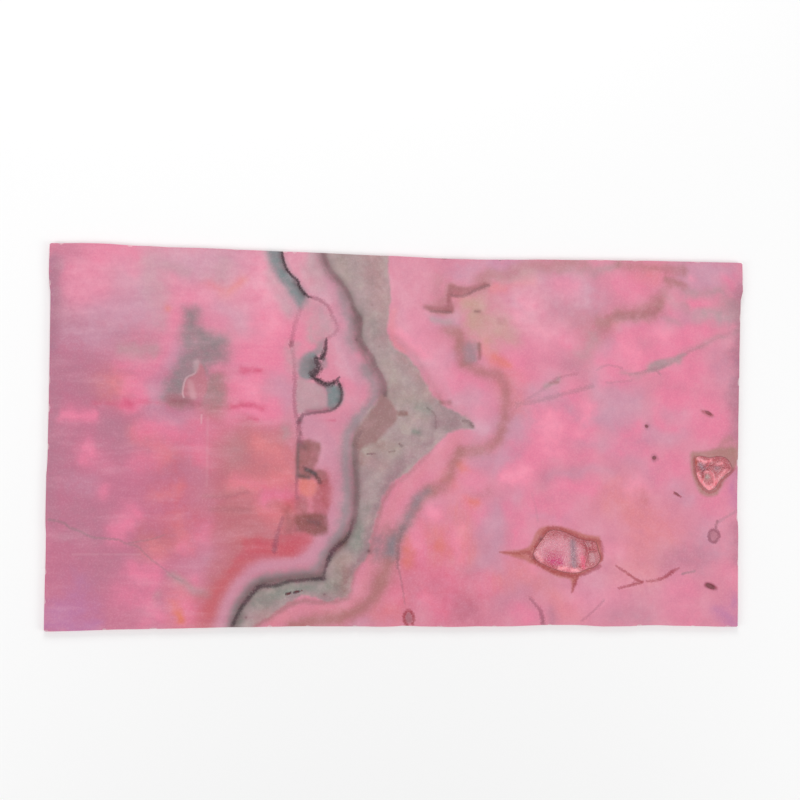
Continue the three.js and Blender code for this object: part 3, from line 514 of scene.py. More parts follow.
BANDS = {
    "lavender_pink": ("#CE90A4", PINK_LAVENDER),
    "lavender_grey": ("#9F8B92", GREY_LAVENDER),
    "red_fringe": ("#C86A72", RED_FRINGE),
    "between_pink": ("#DA8B9C", BETWEEN_PINK),
    "vein_fringe": ("#B27D84", VEIN_FRINGE),
    "brown_band": ("#B47A7C", OUTER_BAND),
    "blue_grey": ("#8E8089", BAND_GREY),
    # darker mauve along the slab's two ends: partly the stone's own colour, partly painted shade where the
    # edge rounds off
    "mauve_and_edge_shade": ("#AE7A90", [
        (0.6, 3, [(-134.4, 66), (-134.2, 34)]), (0.3, 3, [(134, 34), (134, 2)]),
        (0.25, 5, [(133, 64), (133, 38)]),
    ]),
}

# Stains inside the vein: strength, reach, points.
VEIN_STAINS = {
    "rosy_calcite": ("#B68F92", [
        (0.7, 5, [(-14, 76), (-12, 62), (-10, 54)]), (0.3, 4, [(-10, 50), (-9, 40)]),
        (0.5, 3, [(-2, 32), (2, 28)]), (0.8, 2.4, [(5, 25), (9, 24)]), (0.7, 2.4, [(8, 20), (10, 17)]),
        (0.7, 3, [(-22, -47), (-22, -58)]), (0.5, 2, [(-12, -30), (-13, -40)]),
        (0.8, 3, [(-52, -66), (-55, -70)]), (0.5, 4, [(-15, -8), (-8, -9)]),
    ]),
    "beige_calcite": ("#B09B96", [
        (0.8, 4, [(-14, -3), (-4, -3)]), (0.6, 4, [(-4, 16), (4, 17)]),
        (0.7, 4, [(-24, -46), (-25, -57)]), (0.5, 3, [(-8, 30), (-4, 22)]),
        (0.5, 1.4, [(5, 9.6), (9, 8)]), (0.5, 3, [(-54, -58), (-50, -60)]),
        (0.5, 4, [(-26, 68), (-24, 62)]), (0.5, 3, [(0, 6), (2, 9)]),
    ]),
    "sage_calcite": ("#8C8B86", [
        (0.9, 3, [(-18, -32), (-17.5, -38)]), (0.7, 3, [(-20, -40), (-16, -42)]),
        (0.7, 2.6, [(-29, -56), (-26, -58)]), (0.85, 3, [(-48, -57.6), (-34, -57)]),
        (0.6, 2.6, [(-56, -60), (-48, -60)]), (0.4, 3, [(-26, -52), (-23, -56)]),
        (0.7, 2.4, [(-57, -62.5), (-51, -62.5)]), (0.6, 2.4, [(5, 13), (9, 12.4)]),
        (0.9, 1.4, [(3.8, 3.6), (5.4, 3.2)]), (0.4, 3, [(-12, 42), (-14, 46)]),
        (0.6, 1.6, [(-62, -68), (-63, -72)]), (0.4, 2.4, [(-16, -27), (-14, -26)]),
    ]),
    "mauve_calcite": ("#A3848B", [
        (0.8, 1.9, [(-6, -15), (-9, -21), (-11.4, -28), (-13, -35), (-14.4, -42), (-16.4, -46),
                    (-19.4, -49.6), (-20.6, -57)]),
        (0.6, 1.6, [(-24, -60), (-30, -61), (-38, -59), (-44, -61)]), (0.8, 3, [(12, 7), (20, 8)]),
        (0.8, 3, [(10, 0), (4, -4), (0, -8), (-4, -14)]), (0.6, 2.4, [(14, 13), (19, 11)]),
        (0.8, 1.6, [(23.6, 7.4), (26, 7.2)]), (0.5, 2, [(-15, 34), (-12, 26)]),
        (0.5, 2.6, [(-18, -20), (-17, -14)]),
    ]),
    "brown_calcite": ("#9C7475", [
        (0.9, 1.8, [(-18.6, -2), (-19, -9)]), (0.5, 1.6, [(-11, -1), (-9, -2)]),
        (0.25, 5, [(-24, -47), (-24, -57)]), (0.5, 2.2, [(-21.4, -50), (-22, -58)]),
        (0.6, 1.4, [(-17, -6), (-16.4, -8.6)]), (0.5, 1.6, [(-8.4, 22), (-8, 17)]),
    ]),
}

# Soft shade that gathers along the dark growth lines.
SHADES = {
    "border_brown": ("#736666", [
        (0.6, 1.8, [(-27, -43), (-23.6, -39.4), (-21.4, -36)]),
        (0.7, 2.4, [(-34, 78), (-33.4, 72), (-32.4, 69), (-30.2, 65), (-26, 60.6), (-22.8, 55.8),
                    (-20.8, 51), (-19, 47)]),
        (0.75, 2.2, [(-19, 47), (-19.2, 42), (-18.6, 38.6), (-16.8, 35.4), (-14.4, 31.6), (-12.8, 28),
                     (-10.2, 24.6), (-9, 21), (-9, 18)]),
        (0.7, 2.2, [(-17.8, 4), (-19.2, 0), (-19.6, -5), (-19.4, -12), (-19, -20), (-19.4, -28),
                    (-20.6, -34), (-23, -39)]),
        (0.7, 2, [(-24.4, -39.4), (-27.6, -42.6), (-30, -46.6), (-31.4, -51)]),
        (0.9, 2.3, [(-31.6, -52.6), (-36, -52.6), (-42, -53), (-48, -54), (-54, -54.8), (-57.8, -57.4),
                    (-61.4, -62.6), (-64, -69), (-66.4, -76)]),
    ]),
}

# Patches with an edge of their own: colour, then strength, softness of the edge, outline.
PATCHES = {
    "ash": ("#908387", [
        (0.78, 3, [(-85, 49.5), (-81, 49.8), (-79, 48), (-79.4, 44), (-77.4, 42), (-73, 40.2),
                   (-69, 39.2), (-68.4, 37), (-70.6, 34.6), (-69.6, 31.6), (-71, 30), (-74.2, 29.2),
                   (-76, 27), (-77.2, 24.4), (-80, 22), (-82, 13), (-88, 12.4), (-92.4, 14), (-92.8, 18),
                   (-91.4, 22), (-88.6, 27), (-86.6, 31), (-85.4, 34), (-86.4, 39), (-85.2, 44)]),
        (0.35, 3, [(-78, 26), (-71, 24), (-68.6, 18), (-70, 13), (-76, 11), (-78, 14)]),
        (0.4, 2.2, [(-78, 40), (-70, 38), (-67, 33), (-70, 29), (-77, 31)]),
    ]),
    "slate": ("#7E898C", [
        (0.9, 2, [(-54.2, 78), (-53.8, 72), (-52.8, 67), (-50, 62.4), (-47, 58.4), (-44.6, 55),
                  (-42.6, 52.4), (-41, 50.4), (-39.8, 52), (-38.2, 54.6), (-40.6, 58.6), (-43.2, 62),
                  (-46.6, 66), (-48, 70), (-48.4, 78)]),
        (0.9, 1.5, [(-34.4, 33.4), (-37, 34), (-39.6, 32.8), (-41.2, 30.4), (-41.8, 27), (-41, 23.8),
                    (-38, 22.8), (-36, 24), (-34.6, 27), (-34.2, 30)]),
        (0.9, 1.3, [(-31.4, 20.8), (-28.4, 21.6), (-25.6, 21), (-24, 18), (-24.8, 14.4), (-27.6, 12.2),
                    (-30.4, 12.6), (-31.2, 15), (-30.8, 17.6)]),
        (0.5, 1, [(-33, 31.4), (-30.8, 31.4), (-30.6, 28), (-32.8, 27.6)]),
        (0.6, 1.4, [(-31.6, 38.6), (-33.4, 38), (-35.6, 34), (-32.6, 33)]),
    ]),
    "faded_rose": ("#BE99A2", [
        (0.55, 2.4, [(-40, 53), (-34, 53.4), (-31.6, 51.8), (-29.6, 48.6), (-27.8, 45), (-27.6, 43),
                     (-30, 40.4), (-34, 37), (-38, 40), (-39.4, 47)]),
        (0.9, 0.9, [(-42.2, 23), (-38, 22.6), (-35, 22), (-32, 20.4), (-30.6, 17), (-30.4, 13.4),
                    (-33, 11.8), (-38, 11.6), (-41.8, 10.4)]),
    ]),
    "dusk_brown": ("#9B6868", [
        (0.8, 1, [(-41.2, -0.8), (-33, -1), (-33, -5.4), (-33.8, -9), (-35.4, -12), (-36, -14),
                  (-41.2, -14.4)]),
        (0.75, 1, [(-35, -11.6), (-31.6, -11.4), (-29.8, -13), (-29.6, -16.6), (-33.6, -16.4)]),
        (0.5, 1.4, [(-41.6, -22), (-38, -22), (-37.4, -28.6), (-41.6, -28.6)]),
        (0.5, 2, [(-46.4, -27), (-42, -26.6), (-41.6, -35), (-46, -36)]),
    ]),
    "dusk_red": ("#B0646A", [
        (0.62, 1.2, [(-33.6, -16), (-29.4, -15), (-28.8, -20), (-29.6, -28.6), (-35, -28.6),
                     (-35, -21.6)]),
    ]),
    "terracotta": ("#DB8279", [
        (0.65, 1.4, [(-40.2, -15), (-36.4, -15), (-34, -16.6), (-34.2, -19.6), (-36, -21.4),
                     (-39.6, -20.4)]),
        (0.35, 1.6, [(0.4, -37), (3.4, -38), (3.6, -48), (0.6, -49)]),
    ]),
    "deep_umber": ("#8A5D58", [
        (0.8, 1.3, [(-41.6, -29), (-38, -28.4), (-34, -28), (-30, -29.4), (-29.4, -35.6), (-34, -36.6),
                    (-38, -35.2), (-41.4, -35)]),
        (0.6, 0.6, [(0.8, 11.5), (-2.4, 11.7), (-2.6, 9.9), (0.8, 9.8)]),
        (0.45, 0.5, [(-2.9, 11.9), (-4, 11.8), (-4, 10.2), (-2.9, 10.2)]),
        (0.45, 1.2, [(-27.6, -43), (-24, -42), (-21.6, -38.6), (-21.4, -36.6), (-23.6, -37.6),
                     (-26.4, -40.4)]),
        (0.5, 1.1, [(-40.6, -12.8), (-37, -11.4), (-34.4, -12.4), (-33, -15), (-36, -14.6),
                    (-40.6, -14.6)]),
        (0.4, 0.9, [(13.4, 15.8), (18, 16.2), (17.6, 14.2), (14, 14)]),
        (0.65, 0.8, [(28, 38.4), (29.4, 38.4), (29.6, 32.6), (28.4, 32.6)]),
        (0.3, 1.4, [(-38.4, -29.6), (-33, -29.6), (-32.4, -33), (-37.4, -33)]),
    ]),
    "umber_seam": ("#A2686D", [
        (0.65, 0.9, [(16, 57.4), (19, 56.4), (22, 56.6), (24.4, 57.4), (27, 59), (29.6, 60.2),
                     (32.4, 61.2), (30.6, 62.4), (26.6, 61.4), (23, 60.2), (19.6, 60.6), (16.6, 61)]),
        (0.6, 0.8, [(6.4, 51.4), (12, 50.2), (17.8, 50.2), (18.4, 52), (17.4, 55), (16.8, 57.6),
                    (15.4, 57), (15.4, 53.2), (11, 52.6), (6.6, 53)]),
        (0.3, 1.2, [(80, 49.6), (88, 49.4), (95, 50), (102, 50.4), (103.4, 52.6), (101, 54.8), (95, 53.4),
                    (88, 52), (80, 51.4)]),
        (0.6, 0.7, [(118.6, 14), (121.4, 13.6), (124, 11.8), (123.4, 10.8), (121, 11.4), (119.2, 12.4)]),
        (0.3, 1, [(35.6, 48.8), (38.6, 48.6), (38.8, 46.4), (36, 46.2)]),
        (0.5, 0.5, [(56.8, 23.9), (60.4, 24.4), (60.4, 23.4), (57.2, 22.9)]),
    ]),
    "grey_smear": ("#A98F95", [
        (0.6, 0.9, [(97, 29.8), (99, 28.6), (102, 29.8), (106, 31.8), (109, 33.6), (112.6, 36),
                    (110.6, 36.2), (106.4, 34.6), (101, 33.6), (98, 31.8)]),
        (0.45, 1.6, [(22.8, 37), (26, 38.4), (28, 38.4), (28, 33), (27, 31.2), (23.4, 31.4), (22.4, 34)]),
    ]),
    "brick_red": ("#CB6170", [
        (0.45, 1.6, [(-48, -36.6), (-36.6, -37), (-36.4, -40.6), (-39, -43.6), (-44, -44.6), (-60, -44.6),
                     (-66, -50), (-63, -44), (-58, -39.4), (-50, -38.6)]),
        (0.4, 1.4, [(-61, -38), (-53, -38), (-53, -43), (-60, -43.4)]),
    ]),
    "vug_rim": ("#BF7570", [
        (0.9, 0.8, [(38, -43), (45, -42.2), (49.4, -41), (51.6, -37), (53.2, -34), (57, -32.7), (62, -33),
                    (68, -34.4), (72, -36), (78, -36.8), (78.4, -41), (79.4, -45.4), (77, -48.6),
                    (73, -50.8), (69.8, -52.6), (68.8, -55), (67.2, -58.4), (66.8, -55.6), (66, -53.4),
                    (62, -52.8), (57, -50.4), (52, -48), (45, -45.2)]),
    ]),
    "halo": ("#AE817C", [
        (0.85, 1, [(114.6, -3.6), (115, -10), (116.6, -15), (118.6, -19), (122, -20.8), (126, -19.8),
                   (128.6, -15), (131, -12), (133, -9.6), (134.6, -6), (134.6, -2), (131, -1),
                   (125, -1.6), (121, -2.4), (117, -3)]),
        (0.45, 1.6, [(126, -3), (130, -2), (134, -4), (135, 0), (130.6, 3.6), (127, 1)]),
    ]),
    "healed_pocket": ("#C27C89", [
        (0.8, 0.8, [(-79, 29), (-80.2, 25), (-84, 22.6), (-85.2, 18), (-84.8, 16), (-78, 15.6), (-76, 20),
                    (-77, 26)]),
    ]),
    "clay": ("#A8707A", [
        (0.5, 0.8, [(123, -36.5), (123.6, -34.8), (125, -34.4), (126.2, -35.4), (126.2, -37.4),
                    (125, -38.8), (123.6, -38)]),
        (0.8, 0.7, [(1.2, -70), (1.4, -67), (3, -66.4), (4, -68), (3.6, -70.6)]),
    ]),
    "brown_lens": ("#A07B7C", [
        (0.9, 1, [(-9.8, 18), (-7.2, 16.8), (-4.6, 13.8), (-3.2, 10.4), (-4, 7), (-6.8, 4), (-9.4, 1.2),
                  (-11.6, -0.8), (-15.6, -2), (-18, -4), (-20, -1), (-19.2, 3.2), (-16.4, 8), (-13, 12),
                  (-11, 15)]),
    ]),
    "cherry": ("#A85A6A", [
        (0.5, 1.6, [(-91, 17), (-86, 16.6), (-79, 15.4), (-79, 12.8), (-84, 12.4), (-91, 13)]),
        (0.9, 0.6, [(121.4, -55), (124, -55.2), (126.2, -56.6), (126.2, -58), (123.6, -57.6),
                    (121, -56.6)]),
    ]),
}

# Darkest shade inside the slate patches.
CHARCOAL = {"charcoal": ("#5D5557", [
    (0.3, 1.7, [(-39, 30), (-38.6, 27)]), (0.6, 1.4, [(-36.6, 30.4), (-36.4, 28), (-36, 26)]),
    (0.6, 1.1, [(-25.6, 21), (-24.9, 17.6), (-26, 14)]), (0.5, 1.1, [(-34, 22.2), (-31, 21)]),
    (0.4, 1.2, [(-28, 12.4), (-32, 11.6), (-38, 10.8)]),
    (0.6, 1.2, [(-43.6, 60.6), (-41.4, 57.6), (-40, 55.6)]),
    (0.5, 1, [(-49.4, 77), (-49, 70), (-47, 65)]), (0.5, 1.2, [(-40.6, 7.2)]),
    (0.4, 1, [(-41.2, -2), (-41.4, -13)]), (0.85, 1, [(-38, -11.4), (-36.2, -12), (-34.6, -13)]),
    (0.6, 0.9, [(-41, -13.8), (-37, -14.4)]), (0.4, 1.4, [(-40.4, -1.4), (-38.6, -3)]),
    (0.45, 1.2, [(-36.6, -31), (-33, -32)]),
])}

# Lines: for each, its half width at both ends, its strength at both ends, and its points.
LINES = {
    "manganese": ("#50454A", [  # the dark growth line between bands
        ((0.5, 0.6), (0.85, 0.95), [(-48.8, 77), (-48.4, 71), (-47.6, 67.6), (-46.3, 65), (-45.2, 63.6),
                                    (-44, 62.4), (-42.4, 61.2), (-41.8, 59.4), (-40.8, 57.6),
                                    (-39.4, 56)]),
        ((0.6, 0.3), (0.9, 0.6), [(-39.4, 56), (-38, 55), (-36.6, 54.8)]),
        ((0.5, 1.0), (0.8, 0.95), [(-31, 38.8), (-31.2, 36), (-31.6, 33.8), (-32.8, 31.6)]),
        ((1.3, 1.4), (0.95, 0.95), [(-34.6, 31), (-34, 29), (-33.8, 27.4), (-35, 26), (-36, 25)]),
        ((1.0, 0.9), (0.95, 0.95), [(-36.6, 25.6), (-35.6, 24), (-33.4, 22.7), (-31, 21.6), (-29.4, 21.6),
                                    (-28, 22.2)]),
        ((0.8, 0.4), (0.9, 0.7), [(-28, 22.2), (-26.8, 23), (-25.8, 24.4)]),
        ((0.6, 0.5), (0.9, 0.8), [(-26.6, 23), (-25.4, 20.8), (-24.7, 18), (-25.1, 15), (-27, 12.6)]),
        ((0.6, 0.5), (0.7, 0.4), [(-26.8, 12.6), (-29, 11.5), (-32, 10.8), (-36, 10.3), (-38.6, 9.7)]),
        ((0.8, 0.7), (0.5, 0.55), [(-39.4, 9.6), (-40.6, 8), (-41.4, 6.4)]),
        ((0.6, 0.8), (0.3, 0.5), [(-39, -10.4), (-37, -11.8), (-35, -12.8), (-33.2, -15),
                                  (-32.6, -16.2)]),
        ((0.4, 0.7), (0.45, 0.7), [(-19.6, -30.5), (-20.8, -35.5), (-22.2, -38)]),
        ((0.8, 1.0), (0.65, 0.8), [(-22.4, -38.4), (-25, -40.4), (-27.4, -42.8), (-28.8, -46)]),
        ((0.7, 0.5), (0.7, 0.6), [(-28.8, -46), (-29.9, -49), (-30.8, -53)]),
        ((0.8, 0.6), (0.75, 0.6), [(-30.6, -53.2), (-33, -53.4), (-36, -53.6), (-40, -54), (-44, -54.2)]),
        ((0.7, 0.9), (0.6, 0.75), [(-44, -54.4), (-48, -55.6), (-51, -56), (-54, -56), (-56, -56.8)]),
        ((0.8, 0.6), (0.75, 0.6), [(-56, -57), (-58.2, -59.6), (-60.8, -62.8), (-62.8, -66), (-64.6, -70),
                                   (-66, -74), (-66.8, -78)]),
        ((0.5, 0.5), (0.9, 0.9), [(-44.8, -59.1), (-43.2, -58.7)]),
        ((0.5, 0.5), (0.9, 0.9), [(-41.9, -58.5), (-40, -58)]),
    ]),
    "walnut": ("#7E6468", [  # the softer brown growth line
        ((0.8, 0.8), (0.5, 0.65), [(-32.8, 78), (-32.4, 72), (-31.5, 68.8), (-29.6, 65.2), (-25.4, 60.4),
                                   (-22.4, 55.6), (-20.6, 51), (-18.8, 48)]),
        ((0.8, 0.9), (0.65, 0.65), [(-18.8, 48), (-17.8, 46), (-18.1, 42), (-17.7, 38.6), (-15.8, 35.6),
                                    (-13.4, 32.4), (-12, 29)]),
        ((0.8, 0.8), (0.65, 0.6), [(-12, 29), (-9.9, 25.6), (-8.4, 22.4), (-8, 17.8)]),
        ((0.9, 1.1), (0.4, 0.65), [(-17.4, 3.4), (-19, 0), (-19.1, -4), (-18.9, -10), (-18.3, -17),
                                   (-18.3, -23), (-19, -29), (-20, -33)]),
        ((0.5, 0.5), (0.45, 0.4), [(-40.4, 3), (-41, 0), (-41.2, -6), (-41.2, -11)]),
        ((0.6, 0.6), (0.4, 0.3), [(-41.2, -12), (-41.8, -16)]),
        ((0.5, 0.6), (0.3, 0.45), [(17.4, 57.2), (20, 56.7), (22.6, 57), (25, 58.2), (28, 59.9),
                                   (32, 61.2)]),
        ((0.5, 0.5), (0.35, 0.45), [(9.6, 50.6), (17.2, 50.5)]),
        ((0.8, 0.6), (0.2, 0.5), [(0, -33), (-1.6, -38), (-2.2, -44), (-2, -49)]),
        ((0.4, 0.4), (0.3, 0.2), [(-1.8, -49), (-0.2, -56), (0.8, -63)]),
        ((0.4, 0.4), (0.35, 0.3), [(8.5, 13), (10, 12), (11.5, 10.5), (12, 8), (12, 5)]),
        ((0.5, 0.6), (0.4, 0.55), [(22.6, 8.2), (24.8, 8), (26.6, 6)]),
        ((0.35, 0.35), (0.7, 0.5), [(-14.5, -5.2), (-11.5, -5)]),
        ((0.35, 0.35), (0.5, 0.5), [(-6, -4.2), (-4, -3.8)]),
        ((0.5, 0.5), (0.6, 0.6), [(-2, -1.2), (-1, -2)]),
    ]),
    "rose_seam": ("#985E6E", [
        ((0.9, 0.8), (0.2, 0.4), [(-41.2, 50), (-42.6, 46), (-43.8, 41), (-44.4, 38)]),
        ((0.9, 0.8), (0.8, 0.7), [(-44.3, 38), (-44.5, 36.2)]),
        ((0.7, 0.7), (0.25, 0.35), [(-43.8, 34), (-43.2, 30), (-43, 26)]),
        ((0.8, 0.8), (0.4, 0.5), [(-43, 26), (-42.8, 22), (-43, 17), (-42.6, 12), (-41.8, 8.5)]),
        ((1.0, 1.2), (0.55, 0.6), [(-41.2, 6.6), (-40.8, 2), (-40.6, -1)]),
        ((0.7, 0.8), (0.5, 0.4), [(-36.8, 54.8), (-34, 54), (-31.5, 52.5), (-29.8, 50.5), (-29, 48)]),
        ((0.8, 0.7), (0.35, 0.3), [(-29, 48), (-27.2, 45), (-26.8, 43), (-28, 41), (-30.4, 39.6)]),
        ((0.7, 1.1), (0.4, 0.65), [(-46.7, -30), (-48.2, -35), (-49, -38), (-49.6, -42.4)]),
        ((0.6, 0.7), (0.35, 0.4), [(-41.4, -14), (-41.6, -20), (-41.4, -22.4)]),
        ((0.6, 0.6), (0.75, 0.75), [(122.6, -36.5), (123.2, -34.6), (124.7, -34), (126.4, -34.8),
                                    (126.8, -36.6), (126, -38.4), (124.6, -39), (123.2, -38.2),
                                    (122.6, -36.5)]),
        ((0.6, 0.5), (0.8, 0.6), [(125.4, -33.8), (126, -30.4)]),
        ((0.7, 0.7), (0.12, 0.2), [(-76, -22), (-70, -22.2), (-65, -21.4), (-60, -20)]),
        ((0.9, 1.0), (0.12, 0.15), [(-74, -26.8), (-66, -27), (-60, -27)]),
        ((0.6, 0.5), (0.3, 0.2), [(58.4, 24.4), (61, 25.8), (68, 27.4)]),
        ((0.6, 0.5), (0.08, 0.1), [(134, 46.2), (128, 44), (120, 40), (113, 36.8)]),
        ((0.6, 0.9), (0.4, 0.7), [(50.4, -61), (53, -64), (54.8, -66.6), (55.6, -71)]),
        ((0.5, 0.5), (0.3, 0.2), [(80, -62), (75, -67), (71, -70)]),
    ]),
    "iron_and_mouth_shade": ("#A0484E", [  # iron drawn into cracks and round the hollows
        ((0.45, 0.65), (0.45, 0.75), [(84.8, -48.4), (88, -50.4), (91, -52.4), (94, -54.4),
                                      (95.4, -54.7)]),
        ((0.5, 0.65), (0.5, 0.75), [(86, -57.2), (90, -56.2), (93, -55.4), (95.4, -54.7)]),
        ((0.5, 0.8), (0.45, 0.8), [(97.4, -54.5), (102, -53.9), (105.6, -52.3), (107.6, -50.8)]),
        ((0.7, 0.4), (0.7, 0.4), [(107.6, -50.8), (110.4, -49.2)]),
        ((0.5, 0.4), (0.35, 0.35), [(119.6, 13.2), (123.6, 11.8)]),
        ((0.5, 0.4), (0.6, 0.6), [(108, -19.4), (110.8, -20.8)]),
        ((0.6, 0.6), (0.75, 0.75), [(2, -71.4), (0.8, -69.6), (0.7, -67.4), (2, -65.8), (3.6, -66.4),
                                    (4.5, -68.4), (4, -71)]),
        ((0.5, 0.7), (0.4, 0.7), [(71, -51.4), (69, -53.2), (68.2, -55.4)]),
        ((0.6, 0.4), (0.7, 0.4), [(68.2, -55.4), (67, -58.8)]),
        ((0.3, 0.8), (0.3, 0.5), [(38, -43), (45, -43.4), (50, -43)]),
        # the next three lines run round the mouths of the hollows: partly iron, partly painted shade where
        # the wall drops away from the polished face
        ((0.9, 0.8), (0.6, 0.55), [(50, -43.6), (52.4, -46.6), (56, -48.8), (60, -50.6), (66, -52),
                                   (70, -52), (74, -50.4), (78, -48.6)]),
        ((0.7, 0.9), (0.45, 0.6), [(78.8, -46), (79, -42), (77.6, -38.6), (73.6, -38.2), (69, -37),
                                   (64.8, -35), (60.4, -33.6), (56.6, -34.2), (54.6, -37), (52, -41)]),
        ((0.5, 0.5), (0.5, 0.5), [(116.2, -5), (116.4, -10.4), (117.6, -14), (120, -17.6), (123, -19.2),
                                  (126, -17.6), (128, -14), (131, -11.6), (132.8, -9.6)]),
    ]),
    "healed_crack": ("#9E7E86", [
        ((0.5, 0.45), (0.55, 0.5), [(-134, -31), (-129, -32), (-126, -34), (-122, -35.5), (-118, -37.5),
                                    (-113, -38), (-108, -38.5)]),
        ((0.4, 0.4), (0.4, 0.25), [(-108, -38.5), (-105, -40), (-101, -41), (-97, -45), (-93, -48),
                                   (-90, -50.5), (-87, -53), (-84, -54)]),
        ((0.35, 0.3), (0.4, 0.3), [(-106, -40), (-100, -39), (-95, -38), (-91, -36.5)]),
        ((0.9, 0.9), (0.08, 0.1), [(134, 46), (128, 44), (120, 40), (113, 36.6), (108, 33.8)]),
        ((0.7, 0.7), (0.2, 0.45), [(106, 32.4), (103, 31), (99, 29.4)]),
        ((0.6, 0.5), (0.4, 0.25), [(98, 29.4), (94, 28.4), (89, 27.4)]),
        ((0.5, 0.4), (0.4, 0.3), [(100, 29.6), (102, 27.4)]),
        ((0.5, 0.5), (0.25, 0.25), [(76, 29), (80, 31), (86, 30)]),
        ((0.5, 0.5), (0.2, 0.2), [(80, 24), (90, 25)]),
        ((0.7, 0.7), (0.28, 0.2), [(57.6, 23.4), (53, 20), (49, 17.4), (44, 14)]),
        ((0.6, 0.6), (0.35, 0.3), [(126, -31), (130, -28.8), (134, -26.4)]),
        ((0.5, 0.5), (0.1, 0.15), [(50.4, -20), (52, -25), (53, -31)]),
        ((0.9, 0.9), (0.32, 0.28), [(74, 22.4), (62, 19.2), (54, 16.8), (44, 15)]),
        ((0.5, 0.5), (0.6, 0.5), [(112, -51.5), (117, -50.5)]),
    ]),
    "pale_line": ("#DDB4BC", [
        ((0.35, 0.35), (0.35, 0.55), [(-79.6, 29.6), (-80.6, 25), (-84, 23), (-85.2, 18), (-84.8, 15.8)]),
        ((1.2, 1.3), (0.25, 0.4), [(-82.4, 21), (-81.2, 16)]),
        ((1.2, 0.9), (0.4, 0.3), [(-80.2, 29), (-80.4, 26)]),
        ((0.35, 0.35), (0.45, 0.4), [(-78, 9), (-78, 6)]),
        ((0.4, 0.4), (0.15, 0.15), [(-125, -44), (-100, -44)]),
        ((0.5, 0.5), (0.12, 0.1), [(-75.6, 8), (-75.6, -18)]),
    ]),
}

# Dark spots, some of them in the open pits.
SPOTS = {"spots": ("#6E4C54", [
    (0.5, 0.6, [(-19.4, 39)]), (0.3, 0.6, [(-13.5, 52.5)]), (0.3, 0.6, [(-10.5, 36.5)]),
    (0.65, 0.6, [(-60, -68)]), (0.5, 0.7, [(27, 51), (28.6, 51)]), (0.75, 0.8, [(96.7, 7)]),
    (0.8, 1.1, [(99.8, -5.6)]), (0.75, 0.9, [(54.4, -38)]), (0.75, 0.9, [(52, -45)]),
    (0.75, 0.9, [(-13.4, -42.6)]), (0.6, 0.8, [(-30.2, -59.4)]),
    (0.75, 1, [(122.3, -56.1), (124.6, -57)]),
])}


# --- its mesh -------------------------------------------------------------------------------
# The frame's solid, with its two flat faces filled again by smaller triangles, and smallest
# along the lines, so that a thin line in the stone has corners enough to follow it.

WALL_STEP = 0.012  # longest edge in the broken edges and the pits
FACE_STEP = 0.0098
LINE_STEP = 0.0040
LINE_REACH = 0.010  # how near to a line the triangles are small
BACK_STEP = 0.0155
SAME_PLACE = 2e-5  # corners of the frame's solid that are nearer to each other than this are one
MEETS = 1e-6  # as near as a wall's corner and the flat face's have to be, to be one
HALVINGS = 6
HALF_LENGTH, HALF_WIDTH = 1.37, 0.74  # a little more than half the slab
CLEAR_OF_RIM = 0.7  # in steps: how near to a rim the triangles' own corners may come


def merged_copy(node):
    """The frame's solid as a joined mesh: the node itself is left as it is."""
    made = bmesh.new()
    made.from_mesh(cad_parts[node].data)
    bmesh.ops.remove_doubles(made, verts=made.verts, dist=SAME_PLACE)
    return made


def shorten_edges(solid, longest):
    """Halves long edges until none is longer than this."""
    for _ in range(HALVINGS):
        long_edges = [e for e in solid.edges if e.calc_length() > longest]
        if not long_edges:
            break
        bmesh.ops.subdivide_edges(solid, edges=long_edges, cuts=1)
        bmesh.ops.triangulate(solid, faces=solid.faces, quad_method="SHORT_EDGE")


def lies_at(element, height):
    """Whether an edge or a face lies flat at this height."""
    return all(abs(v.co.z - height) < SAME_PLACE for v in element.verts)


def even_places(step):
    """Places all over the slab, a step from each other, like the cells of a honeycomb."""
    row_gap = step * math.sqrt(0.75)
    x, y = np.meshgrid(np.arange(-HALF_LENGTH, HALF_LENGTH, step),
                       np.arange(-HALF_WIDTH, HALF_WIDTH, row_gap))
    x[1::2] += step / 2
    return np.stack([x.ravel(), y.ravel()], 1)


def tree_of(places):
    """These places, sorted so that the nearest to any other is found quickly."""
    tree = kdtree.KDTree(len(places))
    for i, (x, y) in enumerate(places):
        tree.insert((x, y, 0), i)
    tree.balance()
    return tree


def gaps_to(tree, places):
    """How far each place is from the nearest one in a tree."""
    return np.array([tree.find((x, y, 0))[2] for x, y in places])


def on_stone(places, rims):
    """Whether each place lies inside the outer rim and outside the rims of the hollows."""
    order = np.argsort(places[:, 1])
    heights = places[order, 1]
    inside = np.zeros(len(places), bool)
    for (ax, ay), (bx, by) in rims:
        crossed = order[np.searchsorted(heights, min(ay, by)):np.searchsorted(heights, max(ay, by))]
        if len(crossed):
            x, y = places[crossed].T
            inside[crossed] ^= x < ax + (bx - ax) * (y - ay) / (by - ay)
    return inside


def fill_flat(solid, height, places, spacing, facing):
    """Closes the open rims at one height with triangles through these places, leaving the hollows open."""
    rim = [e for e in solid.edges if e.is_boundary and lies_at(e, height)]
    corners = list({v: None for e in rim for v in e.verts})
    number = {v: i for i, v in enumerate(corners)}
    rims = np.array([[v.co.xy for v in e.verts] for e in rim])
    clear = gaps_to(tree_of([v.co.xy for v in corners]), places) > CLEAR_OF_RIM * spacing
    inner = places[clear & on_stone(places, rims)]
    whole_hull, nearest_apart = 0, 1e-7
    points, _, faces, *_ = delaunay_2d_cdt(
        [v.co.xy for v in corners] + [Vector(p) for p in inner],
        [(number[e.verts[0]], number[e.verts[1]]) for e in rim], [], whole_hull, nearest_apart)
    flat_points = np.array([p[:] for p in points])
    kept = np.array(faces)[on_stone(flat_points[np.array(faces)].mean(1), rims)]
    made = {i: solid.verts.new((*flat_points[i], height)) for i in np.unique(kept)}
    for f in kept:
        solid.faces.new([made[i] for i in (f if facing > 0 else reversed(f))])


